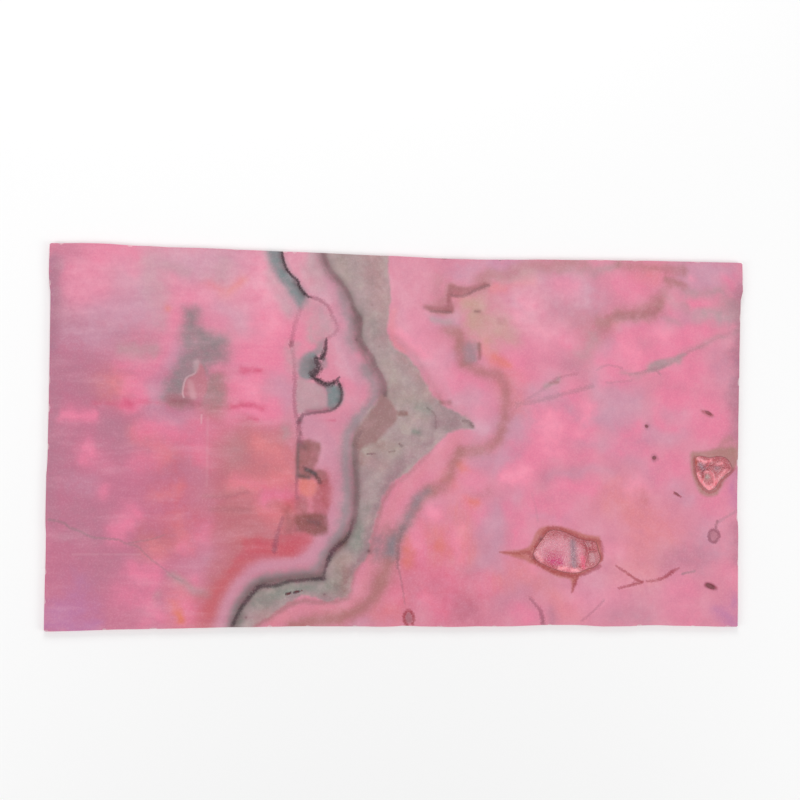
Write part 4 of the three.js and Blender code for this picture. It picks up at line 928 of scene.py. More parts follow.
marked = [flowing(points, per_span=8) for _, lines in LINES.values() for _, _, points in lines]
marked += [flowing(outline, closed=True, per_span=8)
           for _, patches in PATCHES.values() for _, _, outline in patches]
marked += [np.array(points) for _, strokes in SPOTS.values() for _, _, points in strokes]
line_tree = tree_of(np.vstack(marked) / 100 + np.array(PATTERN_MIDDLE.xy))
wide, narrow = even_places(FACE_STEP), even_places(LINE_STEP)
wide = wide[gaps_to(line_tree, wide) > LINE_REACH + FACE_STEP / 2]
narrow = narrow[gaps_to(line_tree, narrow) < LINE_REACH]
face_places = np.vstack([wide, narrow])
face_spacing = np.repeat([FACE_STEP, LINE_STEP], [len(wide), len(narrow)])
back_places = even_places(BACK_STEP)

LEVEL = 0.999  # how upright the normal of a flat face is

stone = merged_copy("onyx_slab")
flat = [f for f in stone.faces
        if abs(f.normal.z) > LEVEL and (lies_at(f, POLISHED_FACE) or lies_at(f, 0.0))]
bmesh.ops.delete(stone, geom=flat, context="FACES_ONLY")
bmesh.ops.delete(stone, geom=[e for e in stone.edges if not e.link_faces], context="EDGES")
shorten_edges(stone, WALL_STEP)
fill_flat(stone, POLISHED_FACE, face_places, face_spacing, 1)
fill_flat(stone, 0.0, back_places, BACK_STEP, -1)
bmesh.ops.remove_doubles(stone, verts=stone.verts, dist=MEETS)
# Where the wall ends a few micrometres short of the flat face, the slit between them is closed.
slits = bmesh.ops.holes_fill(stone, edges=[e for e in stone.edges if e.is_boundary])
bmesh.ops.triangulate(stone, faces=slits["faces"], quad_method="SHORT_EDGE")

slab_mesh = bpy.data.meshes.new("banded_onyx_slab")
stone.to_mesh(slab_mesh)
stone.free()
slab = bpy.data.objects.new("banded_onyx_slab", slab_mesh)
bpy.context.scene.collection.objects.link(slab)

# Bands run through the stone at a slant, so on the edges and the back they come out to one side.
SLANT = 0.35  # centimetres sideways for each centimetre down


def read(elements, name):
    """A vector that each corner or face of a mesh has, as rows of three numbers."""
    values = np.empty(len(elements) * 3)
    elements.foreach_get(name, values)
    return values.reshape(-1, 3)


def keep(mesh, name, values, domain="POINT"):
    """Stores one number for each corner or face of a mesh, for the material to read."""
    mesh.attributes.new(name, "FLOAT", domain).data.foreach_set("value", values.astype(np.float32))


corners = read(slab_mesh.vertices, "co")
face_x, face_y, down = ((corners - np.array(PATTERN_MIDDLE)) * (100, 100, -100)).T
face_x += SLANT * down

# Soft clouds are laid where the stone's flow has carried them; bands and lines keep their places.
LONG_WAVE, SHORT_WAVE = (14, 0.9), (4, 0.25)  # wavelength and reach, in centimetres
blur_x = (face_x + wander(face_x, face_y, *LONG_WAVE, seed=1)
          + wander(face_x, face_y, *SHORT_WAVE, seed=2))
blur_y = (face_y + wander(face_x, face_y, *LONG_WAVE, seed=3)
          + wander(face_x, face_y, *SHORT_WAVE, seed=4))
for name, (_, strokes) in CLOUDS.items():
    keep(slab_mesh, name, stained(blur_x, blur_y, strokes))
for name, (_, strokes) in {**BANDS, **VEIN_STAINS, **SHADES, **CHARCOAL, **SPOTS}.items():
    keep(slab_mesh, name, stained(face_x, face_y, strokes))
keep(slab_mesh, "vein_depth", depth_inside(face_x, face_y, flowing(VEIN, closed=True, per_span=2)))
for name, (_, patches) in PATCHES.items():
    keep(slab_mesh, name, patched(face_x, face_y, patches))
for name, (_, lines) in LINES.items():
    away, strength = drawn(face_x, face_y, lines)
    keep(slab_mesh, name + "_away", away)
    keep(slab_mesh, name, strength)

# The finish of each face: polished above, sawn below, broken along the edges and in the hollows.
FLAKES_REACH = 0.02  # how far in from the edge the broken flakes reach
size = np.array(cad_high) - np.array(cad_low)
normals = read(slab_mesh.polygons, "normal")
middles = read(slab_mesh.polygons, "center") - np.array(cad_low)
up, height = normals[:, 2], middles[:, 2]
is_polished = (up > LEVEL) & (height > POLISHED_FACE - SAME_PLACE)
is_sawn = (up < -LEVEL) & (height < SAME_PLACE)
from_edge = np.minimum(middles, size - middles)[:, :2].min(1)
is_hollow = ~is_polished & ~is_sawn & (from_edge > FLAKES_REACH)
for name, chosen in [("polished", is_polished), ("sawn", is_sawn), ("hollow", is_hollow)]:
    keep(slab_mesh, name, chosen, "FACE")


# --- its material ---------------------------------------------------------------------------

def linear(colour):
    """An sRGB hex colour as the linear values that shaders take."""
    parts = [int(colour[i:i + 2], 16) / 255 for i in (1, 3, 5)]
    return (*[p / 12.92 if p <= 0.04045 else ((p + 0.055) / 1.055) ** 2.4 for p in parts], 1.0)


def add(tree, kind, settings=None, inputs=None):
    """Adds a node, sets its own properties, and sets or connects its inputs."""
    made = tree.nodes.new(kind)
    for name, value in (settings or {}).items():
        setattr(made, name, value)
    for socket, value in (inputs or {}).items():
        if isinstance(value, bpy.types.NodeSocket):
            tree.links.new(value, made.inputs[socket])
        else:
            made.inputs[socket].default_value = value
    return made


def group_with(name, inputs):
    """A new group that takes these inputs and gives a colour, and the outputs of its input node."""
    group = bpy.data.node_groups.new(name, "ShaderNodeTree")
    for socket, kind in inputs:
        group.interface.new_socket(name=socket, in_out="INPUT", socket_type="NodeSocket" + kind)
    group.interface.new_socket(name="Colour", in_out="OUTPUT", socket_type="NodeSocketColor")
    return group, add(group, "NodeGroupInput").outputs


STAIN_SWING = 3.6  # how much the grain thickens and thins a stain where it is half there
LINE_FULL, LINE_ENDS = 0.2, 1.7  # in half widths from the middle of a line
RAGGEDNESS = 2.4  # how far the grain moves the edge of a line, in its half widths, or of the vein, in cm


def stain_group():
    """Lays one stain over what is under it, thicker and thinner with the grain of the stone."""
    group, given = group_with("stain", [
        ("Under", "Color"), ("Stain", "Color"), ("Cover", "Float"), ("Grain", "Float")])
    bare = add(group, "ShaderNodeMath", {"operation": "SUBTRACT"}, {0: 1.0, 1: given["Cover"]})
    edge = add(group, "ShaderNodeMath", {"operation": "MULTIPLY"}, {0: given["Cover"], 1: bare.outputs[0]})
    swing = add(group, "ShaderNodeMath", {"operation": "MULTIPLY_ADD"},
                {0: given["Grain"], 1: STAIN_SWING, 2: -STAIN_SWING / 2})
    cover = add(group, "ShaderNodeMath", {"operation": "MULTIPLY_ADD", "use_clamp": True},
                {0: edge.outputs[0], 1: swing.outputs[0], 2: given["Cover"]})
    laid = add(group, "ShaderNodeMix", {"data_type": "RGBA"},
               {"Factor": cover.outputs[0], 6: given["Under"], 7: given["Stain"]})
    add(group, "NodeGroupOutput", inputs={"Colour": laid.outputs[2]})
    return group


def line_group():
    """Draws a crisp line whose edges are ragged with the grain of the stone."""
    group, given = group_with("line", [
        ("Under", "Color"), ("Line", "Color"), ("Away", "Float"), ("Strength", "Float"),
        ("Grain", "Float")])
    swing = add(group, "ShaderNodeMath", {"operation": "MULTIPLY_ADD"},
                {0: given["Grain"], 1: RAGGEDNESS, 2: -RAGGEDNESS / 2})
    ragged = add(group, "ShaderNodeMath", {"operation": "ADD"}, {0: given["Away"], 1: swing.outputs[0]})
    inside = add(group, "ShaderNodeMapRange", {"interpolation_type": "SMOOTHSTEP"},
                 {"Value": ragged.outputs[0], "From Min": LINE_FULL, "From Max": LINE_ENDS,
                  "To Min": 1.0, "To Max": 0.0})
    cover = add(group, "ShaderNodeMath", {"operation": "MULTIPLY"},
                {0: inside.outputs[0], 1: given["Strength"]})
    drawn_on = add(group, "ShaderNodeMix", {"data_type": "RGBA"},
                   {"Factor": cover.outputs[0], 6: given["Under"], 7: given["Line"]})
    add(group, "NodeGroupOutput", inputs={"Colour": drawn_on.outputs[2]})
    return group


# Polished pink onyx: banded calcite, ground and buffed. It has a clear gloss over colour that seems
# to lie a little way down, because light passes a few millimetres into it before it comes back.
onyx = bpy.data.materials.new("polished_pink_onyx")
onyx.use_nodes = True
tree = onyx.node_tree
shader = tree.nodes["Principled BSDF"]
place_in_stone = add(tree, "ShaderNodeTexCoord").outputs["Object"]
GRAINS = [  # name, size in millimetres, how it is drawn out along the stone, fineness
    ("clouds", 90, (1, 1, 1), 3), ("wisps", 32, (1, 1, 1), 3), ("crystals", 6, (1, 1, 1), 3),
    ("mottle", 38, (1, 1, 1), 4), ("layers", 45, (0.25, 1, 1), 3), ("feathers", 22, (1, 0.2, 1), 2),
]
grain = {}
for name, millimetres, stretch, detail in GRAINS:
    spread = add(tree, "ShaderNodeMapping", inputs={"Vector": place_in_stone, "Scale": stretch})
    grain[name] = add(tree, "ShaderNodeTexNoise", inputs={
        "Vector": spread.outputs[0], "Scale": 1000 / millimetres, "Detail": detail,
        "Roughness": 0.55}).outputs["Fac"]

stain = stain_group()
line = line_group()

# The grain mixes every colour with pale and deep calcite, and the polish lays a thin veil of light
# on it: this much light is added, and this much of the colour's own strength is left.
VEIL = (0.06, 0.05, 0.053)
STRENGTH_LEFT = (0.885, 0.83, 0.855)
LIGHTEST = 0.95  # no pigment gives back more light than this


def pigment(seen):
    """What the stone is stained with where it looks like this colour under its grain and polish."""
    bare = [(c - veil) / left for c, veil, left in zip(linear(seen), VEIL, STRENGTH_LEFT)]
    return (*[min(max(c, 0.0), LIGHTEST) for c in bare], 1.0)


def lay_stains(under, stains, grain_name):
    """Lays each stain of a table over the colour so far, where the mesh's attribute of its name says."""
    for name, (seen, _) in stains.items():
        cover = add(tree, "ShaderNodeAttribute", {"attribute_name": name})
        laid = add(tree, "ShaderNodeGroup", {"node_tree": stain}, {
            "Under": under, "Stain": pigment(seen), "Cover": cover.outputs["Fac"],
            "Grain": grain["feathers" if name == "feathery" else grain_name]})
        under = laid.outputs["Colour"]
    return under


colour = lay_stains(pigment("#DA8DA2"), {**CLOUDS, **BANDS}, "wisps")

# The vein is its own colour, stained within.
vein_colour = lay_stains(pigment("#B1989B"), VEIN_STAINS, "wisps")


GRAIN_MIDDLE = 0.5  # the grain's own mean value


def vary(under, source, pale, deep, swing, reach):
    """Mixes in a pale colour where the grain is high and a deep one where it is low, up to this reach."""
    for tint, full in [(pale, GRAIN_MIDDLE + swing), (deep, GRAIN_MIDDLE - swing)]:
        amount = add(tree, "ShaderNodeMapRange", inputs={
            "Value": source, "From Min": GRAIN_MIDDLE, "From Max": full, "To Max": reach})
        under = add(tree, "ShaderNodeMix", {"data_type": "RGBA"},
                    {"Factor": amount.outputs[0], 6: under, 7: tint}).outputs[2]
    return under


vein_colour = vary(vein_colour, grain["mottle"], pigment("#C9B7B0"), pigment("#8C7A7C"),
                   swing=0.22, reach=0.3)
VEIN_STARTS, VEIN_FULL = -0.7, 0.9  # centimetres in from its outline
vein_depth = add(tree, "ShaderNodeAttribute", {"attribute_name": "vein_depth"})
wavering = add(tree, "ShaderNodeMath", {"operation": "MULTIPLY_ADD"},
               {0: grain["wisps"], 1: RAGGEDNESS, 2: -RAGGEDNESS / 2})
depth_in_vein = add(tree, "ShaderNodeMath", {"operation": "ADD"},
                    {0: vein_depth.outputs["Fac"], 1: wavering.outputs[0]})
in_vein = add(tree, "ShaderNodeMapRange", {"interpolation_type": "SMOOTHSTEP"},
              {"Value": depth_in_vein.outputs[0], "From Min": VEIN_STARTS, "From Max": VEIN_FULL})
colour = add(tree, "ShaderNodeMix", {"data_type": "RGBA"},
             {"Factor": in_vein.outputs[0], 6: colour, 7: vein_colour}).outputs[2]

colour = lay_stains(colour, SHADES, "crystals")
colour = lay_stains(colour, PATCHES, "wisps")
colour = lay_stains(colour, CHARCOAL, "crystals")
for name, (seen, _) in LINES.items():
    away = add(tree, "ShaderNodeAttribute", {"attribute_name": name + "_away"})
    strength = add(tree, "ShaderNodeAttribute", {"attribute_name": name})
    colour = add(tree, "ShaderNodeGroup", {"node_tree": line}, {
        "Under": colour, "Line": pigment(seen), "Away": away.outputs["Fac"],
        "Strength": strength.outputs["Fac"], "Grain": grain["crystals"]}).outputs["Colour"]
colour = lay_stains(colour, SPOTS, "crystals")

# Thin growth layers and the small crystals make the colour paler and deeper from place to place. The
# layers show only in the left part of the stone.
LAYERS_START, LAYERS_FULL = -0.25, -0.60
along_slab = add(tree, "ShaderNodeSeparateXYZ", inputs={0: place_in_stone}).outputs["X"]
flow = add(tree, "ShaderNodeMapRange", {"interpolation_type": "SMOOTHSTEP"},
           {"Value": along_slab, "From Min": LAYERS_START, "From Max": LAYERS_FULL})
layered = add(tree, "ShaderNodeMix", inputs={
    "Factor": flow.outputs[0], 2: grain["clouds"], 3: grain["layers"]})
colour = vary(colour, layered.outputs[0], linear("#EFB9C8"), linear("#B4607F"), swing=0.3, reach=0.22)
colour = vary(colour, grain["crystals"], linear("#F4CDD6"), linear("#A8607A"), swing=0.3, reach=0.13)

# Where it was sawn or broken the stone is dull, and bruised paler; in a hollow or a pit it is browner.
polish, sawn, hollow = [add(tree, "ShaderNodeAttribute", {"attribute_name": name}).outputs["Fac"]
                        for name in ("polished", "sawn", "hollow")]
rough_face = add(tree, "ShaderNodeMath", {"operation": "SUBTRACT"}, {0: 1.0, 1: polish})
struck = add(tree, "ShaderNodeMath", {"operation": "SUBTRACT"}, {0: rough_face.outputs[0], 1: hollow})
bruise = add(tree, "ShaderNodeMath", {"operation": "MULTIPLY"},
             {0: struck.outputs[0], 1: grain["crystals"]})
dusty = add(tree, "ShaderNodeMix", {"data_type": "RGBA"},
            {"Factor": bruise.outputs[0], 6: colour, 7: linear("#E6CBD0")})
BROWNING = 0.6  # how far the stone's own colour gives way to brown in a hollow
depth_tint = add(tree, "ShaderNodeMath", {"operation": "MULTIPLY"}, {0: hollow, 1: BROWNING})
pitted = add(tree, "ShaderNodeMix", {"data_type": "RGBA"},
             {"Factor": depth_tint.outputs[0], 6: dusty.outputs[2], 7: linear("#85464B")})
tree.links.new(pitted.outputs[2], shader.inputs["Base Color"])
buffed = add(tree, "ShaderNodeMapRange", inputs={
    "Value": grain["wisps"], "From Min": 0.3, "From Max": 0.7, "To Min": 0.10, "To Max": 0.17})
dull = add(tree, "ShaderNodeMapRange", inputs={
    "Value": grain["crystals"], "From Min": 0.3, "From Max": 0.7, "To Min": 0.45, "To Max": 0.68})
gloss = add(tree, "ShaderNodeMix", inputs={"Factor": polish, 2: dull.outputs[0], 3: buffed.outputs[0]})
tree.links.new(gloss.outputs[0], shader.inputs["Roughness"])

# The break shows its grains, and the back the saw's strokes. Those are 1 or 2 mm apart on the real
# back and are drawn 7 mm apart, so that they show.
STROKE_GAP = 7  # millimetres
SAW_RELIEF = 0.15  # to the relief of the break
COARSE_TO_FINE = 2.0  # in the relief of the break
BANDS_AT_SCALE_1 = 1000 * 2 * math.pi / 20  # millimetres between a wave texture's bands at scale 1
saw_stroke = add(tree, "ShaderNodeTexWave", {"bands_direction": "Y"}, {
    "Vector": place_in_stone, "Scale": BANDS_AT_SCALE_1 / STROKE_GAP,
    "Distortion": 1.2, "Detail": 2.0, "Detail Scale": 4.0})
saw_height = add(tree, "ShaderNodeMath", {"operation": "MULTIPLY"}, {0: saw_stroke.outputs["Fac"], 1: sawn})
break_height = add(tree, "ShaderNodeMath", {"operation": "MULTIPLY_ADD"},
                   {0: grain["wisps"], 1: COARSE_TO_FINE, 2: grain["crystals"]})
broken = add(tree, "ShaderNodeMath", {"operation": "SUBTRACT"}, {0: rough_face.outputs[0], 1: sawn})
break_relief = add(tree, "ShaderNodeMath", {"operation": "MULTIPLY"},
                   {0: break_height.outputs[0], 1: broken.outputs[0]})
relief = add(tree, "ShaderNodeMath", {"operation": "MULTIPLY_ADD"},
             {0: saw_height.outputs[0], 1: SAW_RELIEF, 2: break_relief.outputs[0]})
bump = add(tree, "ShaderNodeBump", inputs={"Height": relief.outputs[0], "Strength": 0.6, "Distance": 0.002})
tree.links.new(bump.outputs[0], shader.inputs["Normal"])
shader.inputs["IOR"].default_value = 1.55
shader.inputs["Specular IOR Level"].default_value = 0.4
shader.inputs["Subsurface Weight"].default_value = 0.15
shader.inputs["Subsurface Radius"].default_value = (1.0, 0.5, 0.45)
shader.inputs["Subsurface Scale"].default_value = 0.004
slab_mesh.materials.append(onyx)

# The stone's map for baking: the polished face, with the hollows in their own holes, takes the most
# room, the back less, and the four edges lie between them as long strips.
MARGIN = 0.01
FACE_WIDE = 0.98  # how much of the map's width the polished face takes
BACK_SHARE = 0.7  # the back's scale, to the face's
EDGE_HIGH = 1.3  # the edges' scale upwards, to the face's
FACE_FLOOR, EDGE_FLOOR, STRIP_GAP = 0.462, 0.400, 0.014  # where each lies, up the map

corner_of = np.empty(len(slab_mesh.loops), np.int32)
slab_mesh.loops.foreach_get("vertex_index", corner_of)
face_of = np.repeat(np.arange(len(slab_mesh.polygons)), 3)
corner_x, corner_y, corner_z = (corners[corner_of] - np.array(cad_low)).T
to_sides = [middles[:, 1], size[0] - middles[:, 0], size[1] - middles[:, 1], middles[:, 0]]
side = np.argmin(to_sides, 0)[face_of]
is_edge = (~is_polished & ~is_sawn & ~is_hollow)[face_of]
is_back = is_sawn[face_of]
face_scale = FACE_WIDE / size[0]
along_side = np.where(side % 2 == 0, corner_x, corner_y)
u = MARGIN + face_scale * np.where(is_edge, along_side, np.where(is_back, BACK_SHARE * corner_x, corner_x))
v = np.where(is_edge, EDGE_FLOOR + STRIP_GAP * side + EDGE_HIGH * face_scale * corner_z,
             np.where(is_back, MARGIN + BACK_SHARE * face_scale * corner_y,
                      FACE_FLOOR + face_scale * corner_y))
uv = np.stack([u, v], 1).astype(np.float32)
slab_mesh.uv_layers.new(name="OFBake").data.foreach_set("uv", uv.ravel())

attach(slab, "root")
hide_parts("onyx_slab")

# ------------------------------------------------------------------------------------------
# Vug linings: where the spring left a hollow, calcite grew on its walls as a crust of small
# pointed crystals, with thin walls between one cell and the next.
# ------------------------------------------------------------------------------------------

LID = POLISHED_FACE - 0.0004  # nothing in a hollow reaches nearer to the polished face than this
CRUST_STEP = 0.0026  # longest edge in the crust
HEADS_TO_METRE = 190  # crystals' heads along a metre of the crust
HEAD_RISE = 0.0013
HEAD_FOOT = 0.75  # how far from a head the crust is neither raised nor sunk
HEADS_FACE_UP, POINTS_FACE_UP = 0.25, 0.3  # heads and points rise where the normal's z is over this
POINTS_THIN_OUT, POINTS_END = 0.0125, 0.0165  # heights: further up there is no room under the lid
SUNK = 0.25  # how much of a point stands in the crust
LEAN = 0.45  # radians
FULL_TURN = 6.28  # radians
SMALLEST_POINT = 0.45  # to the largest

# Tints of the crust, painted highlights among them: colour, then strength, reach and points, in centimetres
# as on the face.
CRUST_TINTS = {
    "blush": ("#DD8EA0", [
        (0.95, 5, [(55, -41), (60, -40), (66, -42), (64, -46)]), (0.7, 2, [(56, -46), (54, -43)]),
        (0.8, 1.8, [(70, -42), (70.4, -46)]),
    ]),
    "deep_magenta": ("#C93A72", [
        (0.95, 2.0, [(58.6, -46.8), (62, -47.2)]), (0.45, 3, [(59, -44.6), (61, -45)]),
    ]),
    "smoke": ("#9A7886", [
        (0.9, 1.6, [(67.4, -38.4), (67.6, -43), (68, -48.6)]), (0.8, 1.3, [(119.2, -8), (120, -9.4)]),
        (0.7, 1.4, [(126, -9.4)]),
    ]),
    "ash_rose": ("#CB929B", [(0.9, 1.6, [(75.4, -44.4), (75.6, -46)]), (0.8, 1.1, [(73.4, -40)])]),
    "sage": ("#AC9690", [(0.95, 1.2, [(122, -13)]), (0.8, 1.4, [(132, -6), (133, -8)])]),
    "brick_lining": ("#BF5E68", [
        (0.8, 1.4, [(124, -6), (128, -6.4)]), (0.6, 1, [(61, -49.6), (66, -50.8)]),
        (0.6, 1.1, [(64.6, -36.4), (69, -38), (72.4, -41)]),
        (0.85, 1.8, [(51.6, -42.4), (53.4, -39.4), (55.6, -36.6), (60, -35.6)]),
        (0.6, 1.2, [(53, -45.4), (57, -48.4)]), (0.7, 1.1, [(56, -47.8), (59.4, -49), (62, -50.2)]),
        (0.7, 1, [(54.6, -38.2)]), (0.5, 1, [(76.6, -42.6), (73.4, -42.4)]),
    ]),
    "rust": ("#B2463A", [(0.95, 0.7, [(117, -5), (117.2, -8)])]),
    # painted highlights in saturated pink, on a lit rib and along the lower wall of the long hollow
    "pink_glint": ("#EE6E8C", [
        (0.95, 1.1, [(71.4, -45), (71.8, -48.8)]), (0.5, 1, [(64.6, -49.6), (66.8, -50)]),
    ]),
    # glint: painted highlights, pale where the hollows' lower walls, rims and ridges would catch the light
    "glint": ("#FFA2AE", [
        (0.95, 0.75, [(118, -5.6), (121, -7), (123.4, -6.2)]),
        (0.95, 0.8, [(118, -11.6), (119.2, -14), (121, -16.4), (122.6, -17.4)]),
        (0.95, 0.8, [(122.6, -17.4), (124.2, -16.4), (125.4, -14.6)]),
        (0.65, 0.8, [(125.4, -14.6), (127.6, -12.4), (129.8, -10)]),
        (0.9, 0.6, [(121, -11), (123, -10.8), (124.4, -12.4), (124.6, -14)]),
        (0.6, 0.6, [(126, -8), (128, -7.4)]), (0.95, 0.8, [(62, -49.4), (64.6, -49.2)]),
        (0.95, 0.8, [(67, -50), (69.4, -50.2)]), (0.5, 0.8, [(53, -43.6), (55, -46.4)]),
    ]),
}

# Crusted calcite: clear to pink crystals with flat faces, some of them glossier than others, and some
# painted paler as highlights.
crystal_look = bpy.data.materials.new("drusy_pink_calcite")
crystal_look.use_nodes = True
tree = crystal_look.node_tree
shader = tree.nodes["Principled BSDF"]
place_in_stone = add(tree, "ShaderNodeTexCoord").outputs["Object"]
FACET = 3  # millimetres
TINT_GRAIN = 6  # millimetres
sparkle = add(tree, "ShaderNodeTexVoronoi", inputs={"Vector": place_in_stone, "Scale": 1000 / FACET})
tint_grain = add(tree, "ShaderNodeTexNoise", inputs={
    "Vector": place_in_stone, "Scale": 1000 / TINT_GRAIN, "Detail": 3.0})
colour = linear("#BE626C")
for name, (tint, _) in CRUST_TINTS.items():
    cover = add(tree, "ShaderNodeAttribute", {"attribute_name": name})
    laid = add(tree, "ShaderNodeGroup", {"node_tree": stain}, {
        "Under": colour, "Stain": linear(tint), "Cover": cover.outputs["Fac"],
        "Grain": tint_grain.outputs["Fac"]})
    colour = laid.outputs["Colour"]
tone = add(tree, "ShaderNodeSeparateColor", inputs={0: sparkle.outputs["Color"]})
# About one facet in three is painted paler, a painted highlight as if it caught the light.
lit_face = add(tree, "ShaderNodeMapRange", inputs={
    "Value": tone.outputs[0], "From Min": 0.6, "From Max": 1.0, "To Max": 0.35})
colour = add(tree, "ShaderNodeMix", {"data_type": "RGBA"},
             {"Factor": lit_face.outputs[0], 6: colour, 7: linear("#F7C9CE")}).outputs[2]
# A point is clearer, and so paler, towards its tip; the paling is also painted light, lifting the shade on
# the points' steep sides.
tip = add(tree, "ShaderNodeAttribute", {"attribute_name": "tip"})
TIP_CLEAR_AND_LIT = 0.55  # how far a point's own colour gives way to clear at its tip
clear_and_lit_tip = add(tree, "ShaderNodeMath", {"operation": "MULTIPLY"}, {0: tip.outputs["Fac"], 1: TIP_CLEAR_AND_LIT})
colour = add(tree, "ShaderNodeMix", {"data_type": "RGBA"},
             {"Factor": clear_and_lit_tip.outputs[0], 6: colour, 7: linear("#FCCBD2")}).outputs[2]
tree.links.new(colour, shader.inputs["Base Color"])
face_gloss = add(tree, "ShaderNodeMapRange", inputs={
    "Value": tone.outputs[1], "To Min": 0.12, "To Max": 0.42})
tree.links.new(face_gloss.outputs[0], shader.inputs["Roughness"])
shader.inputs["IOR"].default_value = 1.6
shader.inputs["Subsurface Weight"].default_value = 0.2
shader.inputs["Subsurface Radius"].default_value = (1.0, 0.5, 0.45)
shader.inputs["Subsurface Scale"].default_value = 0.002


def crystal_tree():
    """Geometry Nodes: six-sided calcite points grown out of a crust, where there is room for them."""
    made = bpy.data.node_groups.new("calcite_points", "GeometryNodeTree")
    made.interface.new_socket(name="Crust", in_out="INPUT", socket_type="NodeSocketGeometry")
    for name, kind in [("Spacing", "Float"), ("Length", "Float"), ("Width", "Float"),
                       ("Seed", "Int"), ("Finish", "Material")]:
        made.interface.new_socket(name=name, in_out="INPUT", socket_type="NodeSocket" + kind)
    made.interface.new_socket(name="Crust and points", in_out="OUTPUT", socket_type="NodeSocketGeometry")
    given = add(made, "NodeGroupInput").outputs
    room = add(made, "GeometryNodeInputNamedAttribute", inputs={"Name": "room"})
    seats = add(made, "GeometryNodeDistributePointsOnFaces", {"distribute_method": "POISSON"}, {
        "Mesh": given["Crust"], "Distance Min": given["Spacing"], "Density Max": 120000.0,
        "Density Factor": room.outputs[0], "Seed": given["Seed"]})
    point = add(made, "GeometryNodeMeshCone", inputs={
        "Vertices": 6, "Radius Top": 0.0, "Radius Bottom": 1.0, "Depth": 1.0})
    position = add(made, "GeometryNodeInputPosition")
    place = add(made, "ShaderNodeSeparateXYZ", inputs={0: position.outputs[0]})
    tipped = add(made, "GeometryNodeStoreNamedAttribute", inputs={
        "Geometry": point.outputs["Mesh"], "Name": "tip", "Value": place.outputs["Z"]})
    sunk = add(made, "GeometryNodeTransform", inputs={
        "Geometry": tipped.outputs[0], "Translation": (0.0, 0.0, -SUNK)})
    outward = add(made, "FunctionNodeAlignRotationToVector", {"axis": "Z"},
                  {"Vector": seats.outputs["Normal"]})
    lean = add(made, "FunctionNodeRandomValue", {"data_type": "FLOAT_VECTOR"},
               {0: (-LEAN, -LEAN, 0.0), 1: (LEAN, LEAN, FULL_TURN), "Seed": given["Seed"]})
    turned = add(made, "FunctionNodeRotateRotation", {"rotation_space": "LOCAL"},
                 {"Rotation": outward.outputs[0], "Rotate By": lean.outputs[0]})
    big = add(made, "FunctionNodeRandomValue", {"data_type": "FLOAT"},
              {2: SMALLEST_POINT, 3: 1.0, "Seed": given["Seed"]})
    girth = add(made, "ShaderNodeMath", {"operation": "MULTIPLY"}, {0: given["Width"], 1: big.outputs[1]})
    tall = add(made, "ShaderNodeMath", {"operation": "MULTIPLY"}, {0: given["Length"], 1: big.outputs[1]})
    scale = add(made, "ShaderNodeCombineXYZ", inputs={
        0: girth.outputs[0], 1: girth.outputs[0], 2: tall.outputs[0]})
    grown = add(made, "GeometryNodeInstanceOnPoints", inputs={
        "Points": seats.outputs["Points"], "Instance": sunk.outputs[0],
        "Rotation": turned.outputs[0], "Scale": scale.outputs[0]})
    joined = add(made, "GeometryNodeJoinGeometry")
    for part in (given["Crust"], grown.outputs[0]):
        made.links.new(part, joined.inputs[0])
    real = add(made, "GeometryNodeRealizeInstances", inputs={0: joined.outputs[0]})
    finished = add(made, "GeometryNodeSetMaterial",
                   inputs={0: real.outputs[0], "Material": given["Finish"]})
    add(made, "NodeGroupOutput", inputs={0: finished.outputs[0]})
    return made


def set_inputs(modifier, values):
    """Sets a Geometry Nodes modifier's inputs, given by name, through their sockets' identifiers."""
    for socket in modifier.node_group.interface.items_tree:
        if socket.in_out == "INPUT" and socket.name in values:
            modifier[socket.identifier] = values[socket.name]


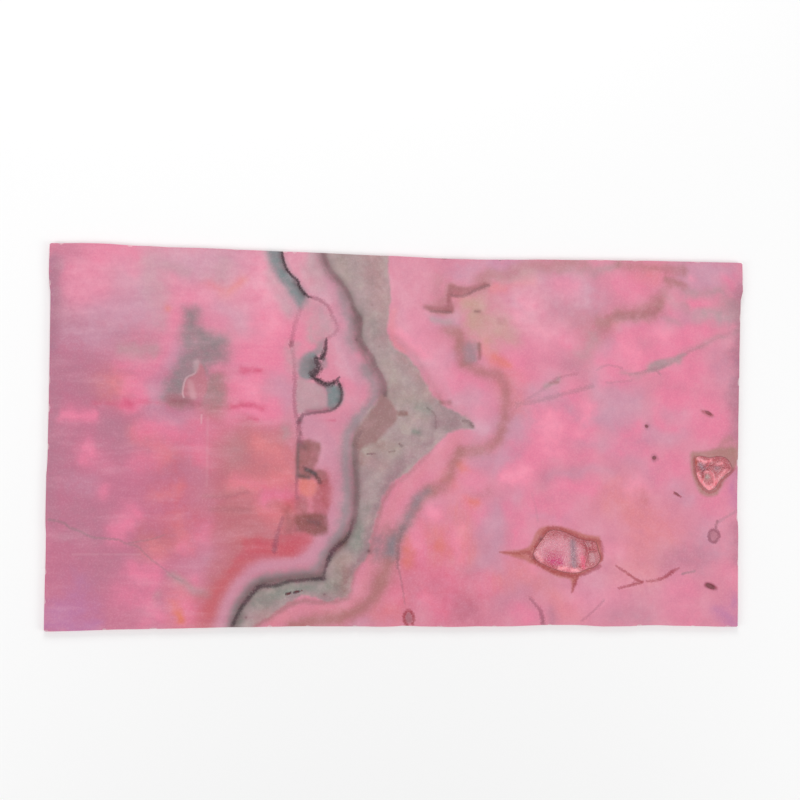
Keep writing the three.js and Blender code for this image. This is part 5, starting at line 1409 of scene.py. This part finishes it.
points_tree = crystal_tree()
for node, piece, seed in [("long_vug_crystals", "long_vug_lining", 5),
                          ("edge_vug_crystals", "edge_vug_lining", 11)]:
    crust = merged_copy(node)
    shorten_edges(crust, CRUST_STEP)
    crust.normal_update()
    # Each crystal's head stands a little above the crust: the underside keeps to the frame's solid.
    for v in crust.verts:
        if v.normal.z > HEADS_FACE_UP:
            to_nearest_head = noise.voronoi(v.co * HEADS_TO_METRE)[0][0]
            v.co.z = min(v.co.z + HEAD_RISE * (HEAD_FOOT - to_nearest_head), LID)
    crust_mesh = bpy.data.meshes.new(piece + "_crust")
    crust.to_mesh(crust_mesh)
    crust.free()
    heights = read(crust_mesh.vertices, "co")[:, 2]
    facing_up = read(crust_mesh.vertices, "normal")[:, 2] > POINTS_FACE_UP
    keep(crust_mesh, "room", facing_up * (1 - smooth_step(heights, POINTS_THIN_OUT, POINTS_END)))
    bare = bpy.data.objects.new(piece + "_bare", crust_mesh)
    bpy.context.scene.collection.objects.link(bare)
    growth = bare.modifiers.new("calcite points", "NODES")
    growth.node_group = points_tree
    set_inputs(growth, {
        "Spacing": 0.0056, "Length": 0.0042, "Width": 0.0034, "Seed": seed, "Finish": crystal_look})
    grown = bare.evaluated_get(bpy.context.evaluated_depsgraph_get())
    lining_mesh = bpy.data.meshes.new_from_object(grown)
    lining_mesh.name = piece
    bpy.data.objects.remove(bare)
    tint_x, tint_y, _ = ((read(lining_mesh.vertices, "co") - np.array(PATTERN_MIDDLE)) * 100).T
    for name, (_, strokes) in CRUST_TINTS.items():
        keep(lining_mesh, name, stained(tint_x, tint_y, strokes))
    lining = bpy.data.objects.new(piece, lining_mesh)
    bpy.context.scene.collection.objects.link(lining)
    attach(lining, "root")
    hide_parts(node)

# ------------------------------------------------------------------------------------------
# Floor and light: a plain floor of matt white studio paper, a pale room and three soft lamps. None of
# them is part of the stone; the key lamp stands high behind it, and one lamp stands at each side.
# ------------------------------------------------------------------------------------------

FLOOR_REACH = 30.0  # metres from the middle
floor_corners = [(x * FLOOR_REACH, y * FLOOR_REACH, 0) for x, y in [(-1, -1), (1, -1), (1, 1), (-1, 1)]]
floor_mesh = bpy.data.meshes.new("floor")
floor_mesh.from_pydata(floor_corners, [], [(0, 1, 2, 3)])
floor = bpy.data.objects.new("floor", floor_mesh)
bpy.context.scene.collection.objects.link(floor)

# Matt white studio paper: it has no gloss, so the stone's shade lies soft on it.
paper = bpy.data.materials.new("matt_white_paper")
paper.use_nodes = True
paper_shader = paper.node_tree.nodes["Principled BSDF"]
paper_shader.inputs["Base Color"].default_value = linear("#FBFBFB")
paper_shader.inputs["Roughness"].default_value = 0.9
paper_shader.inputs["Specular IOR Level"].default_value = 0.1
floor_mesh.materials.append(paper)

world = bpy.data.worlds.new("studio")
world.use_nodes = True
world.node_tree.nodes["Background"].inputs["Color"].default_value = linear("#F6F6F6")
world.node_tree.nodes["Background"].inputs["Strength"].default_value = 0.63
bpy.context.scene.world = world

LAMPS = [  # name, place, size, watts
    ("key_lamp", (-0.6, 5.4, 3.6), 2.6, 125),
    ("left_lamp", (-5.0, -1.4, 3.6), 3.0, 88),
    ("right_lamp", (5.0, -1.4, 3.8), 3.0, 98),
]
for name, place_of_lamp, lamp_size, power in LAMPS:
    light = bpy.data.lights.new(name, "AREA")
    light.shape = "SQUARE"
    light.size = lamp_size
    light.energy = power
    lamp = bpy.data.objects.new(name, light)
    lamp.location = place_of_lamp
    lamp.rotation_euler = (-Vector(place_of_lamp)).to_track_quat("-Z", "Y").to_euler()
    bpy.context.scene.collection.objects.link(lamp)

bpy.context.scene.view_settings.view_transform = "Standard"
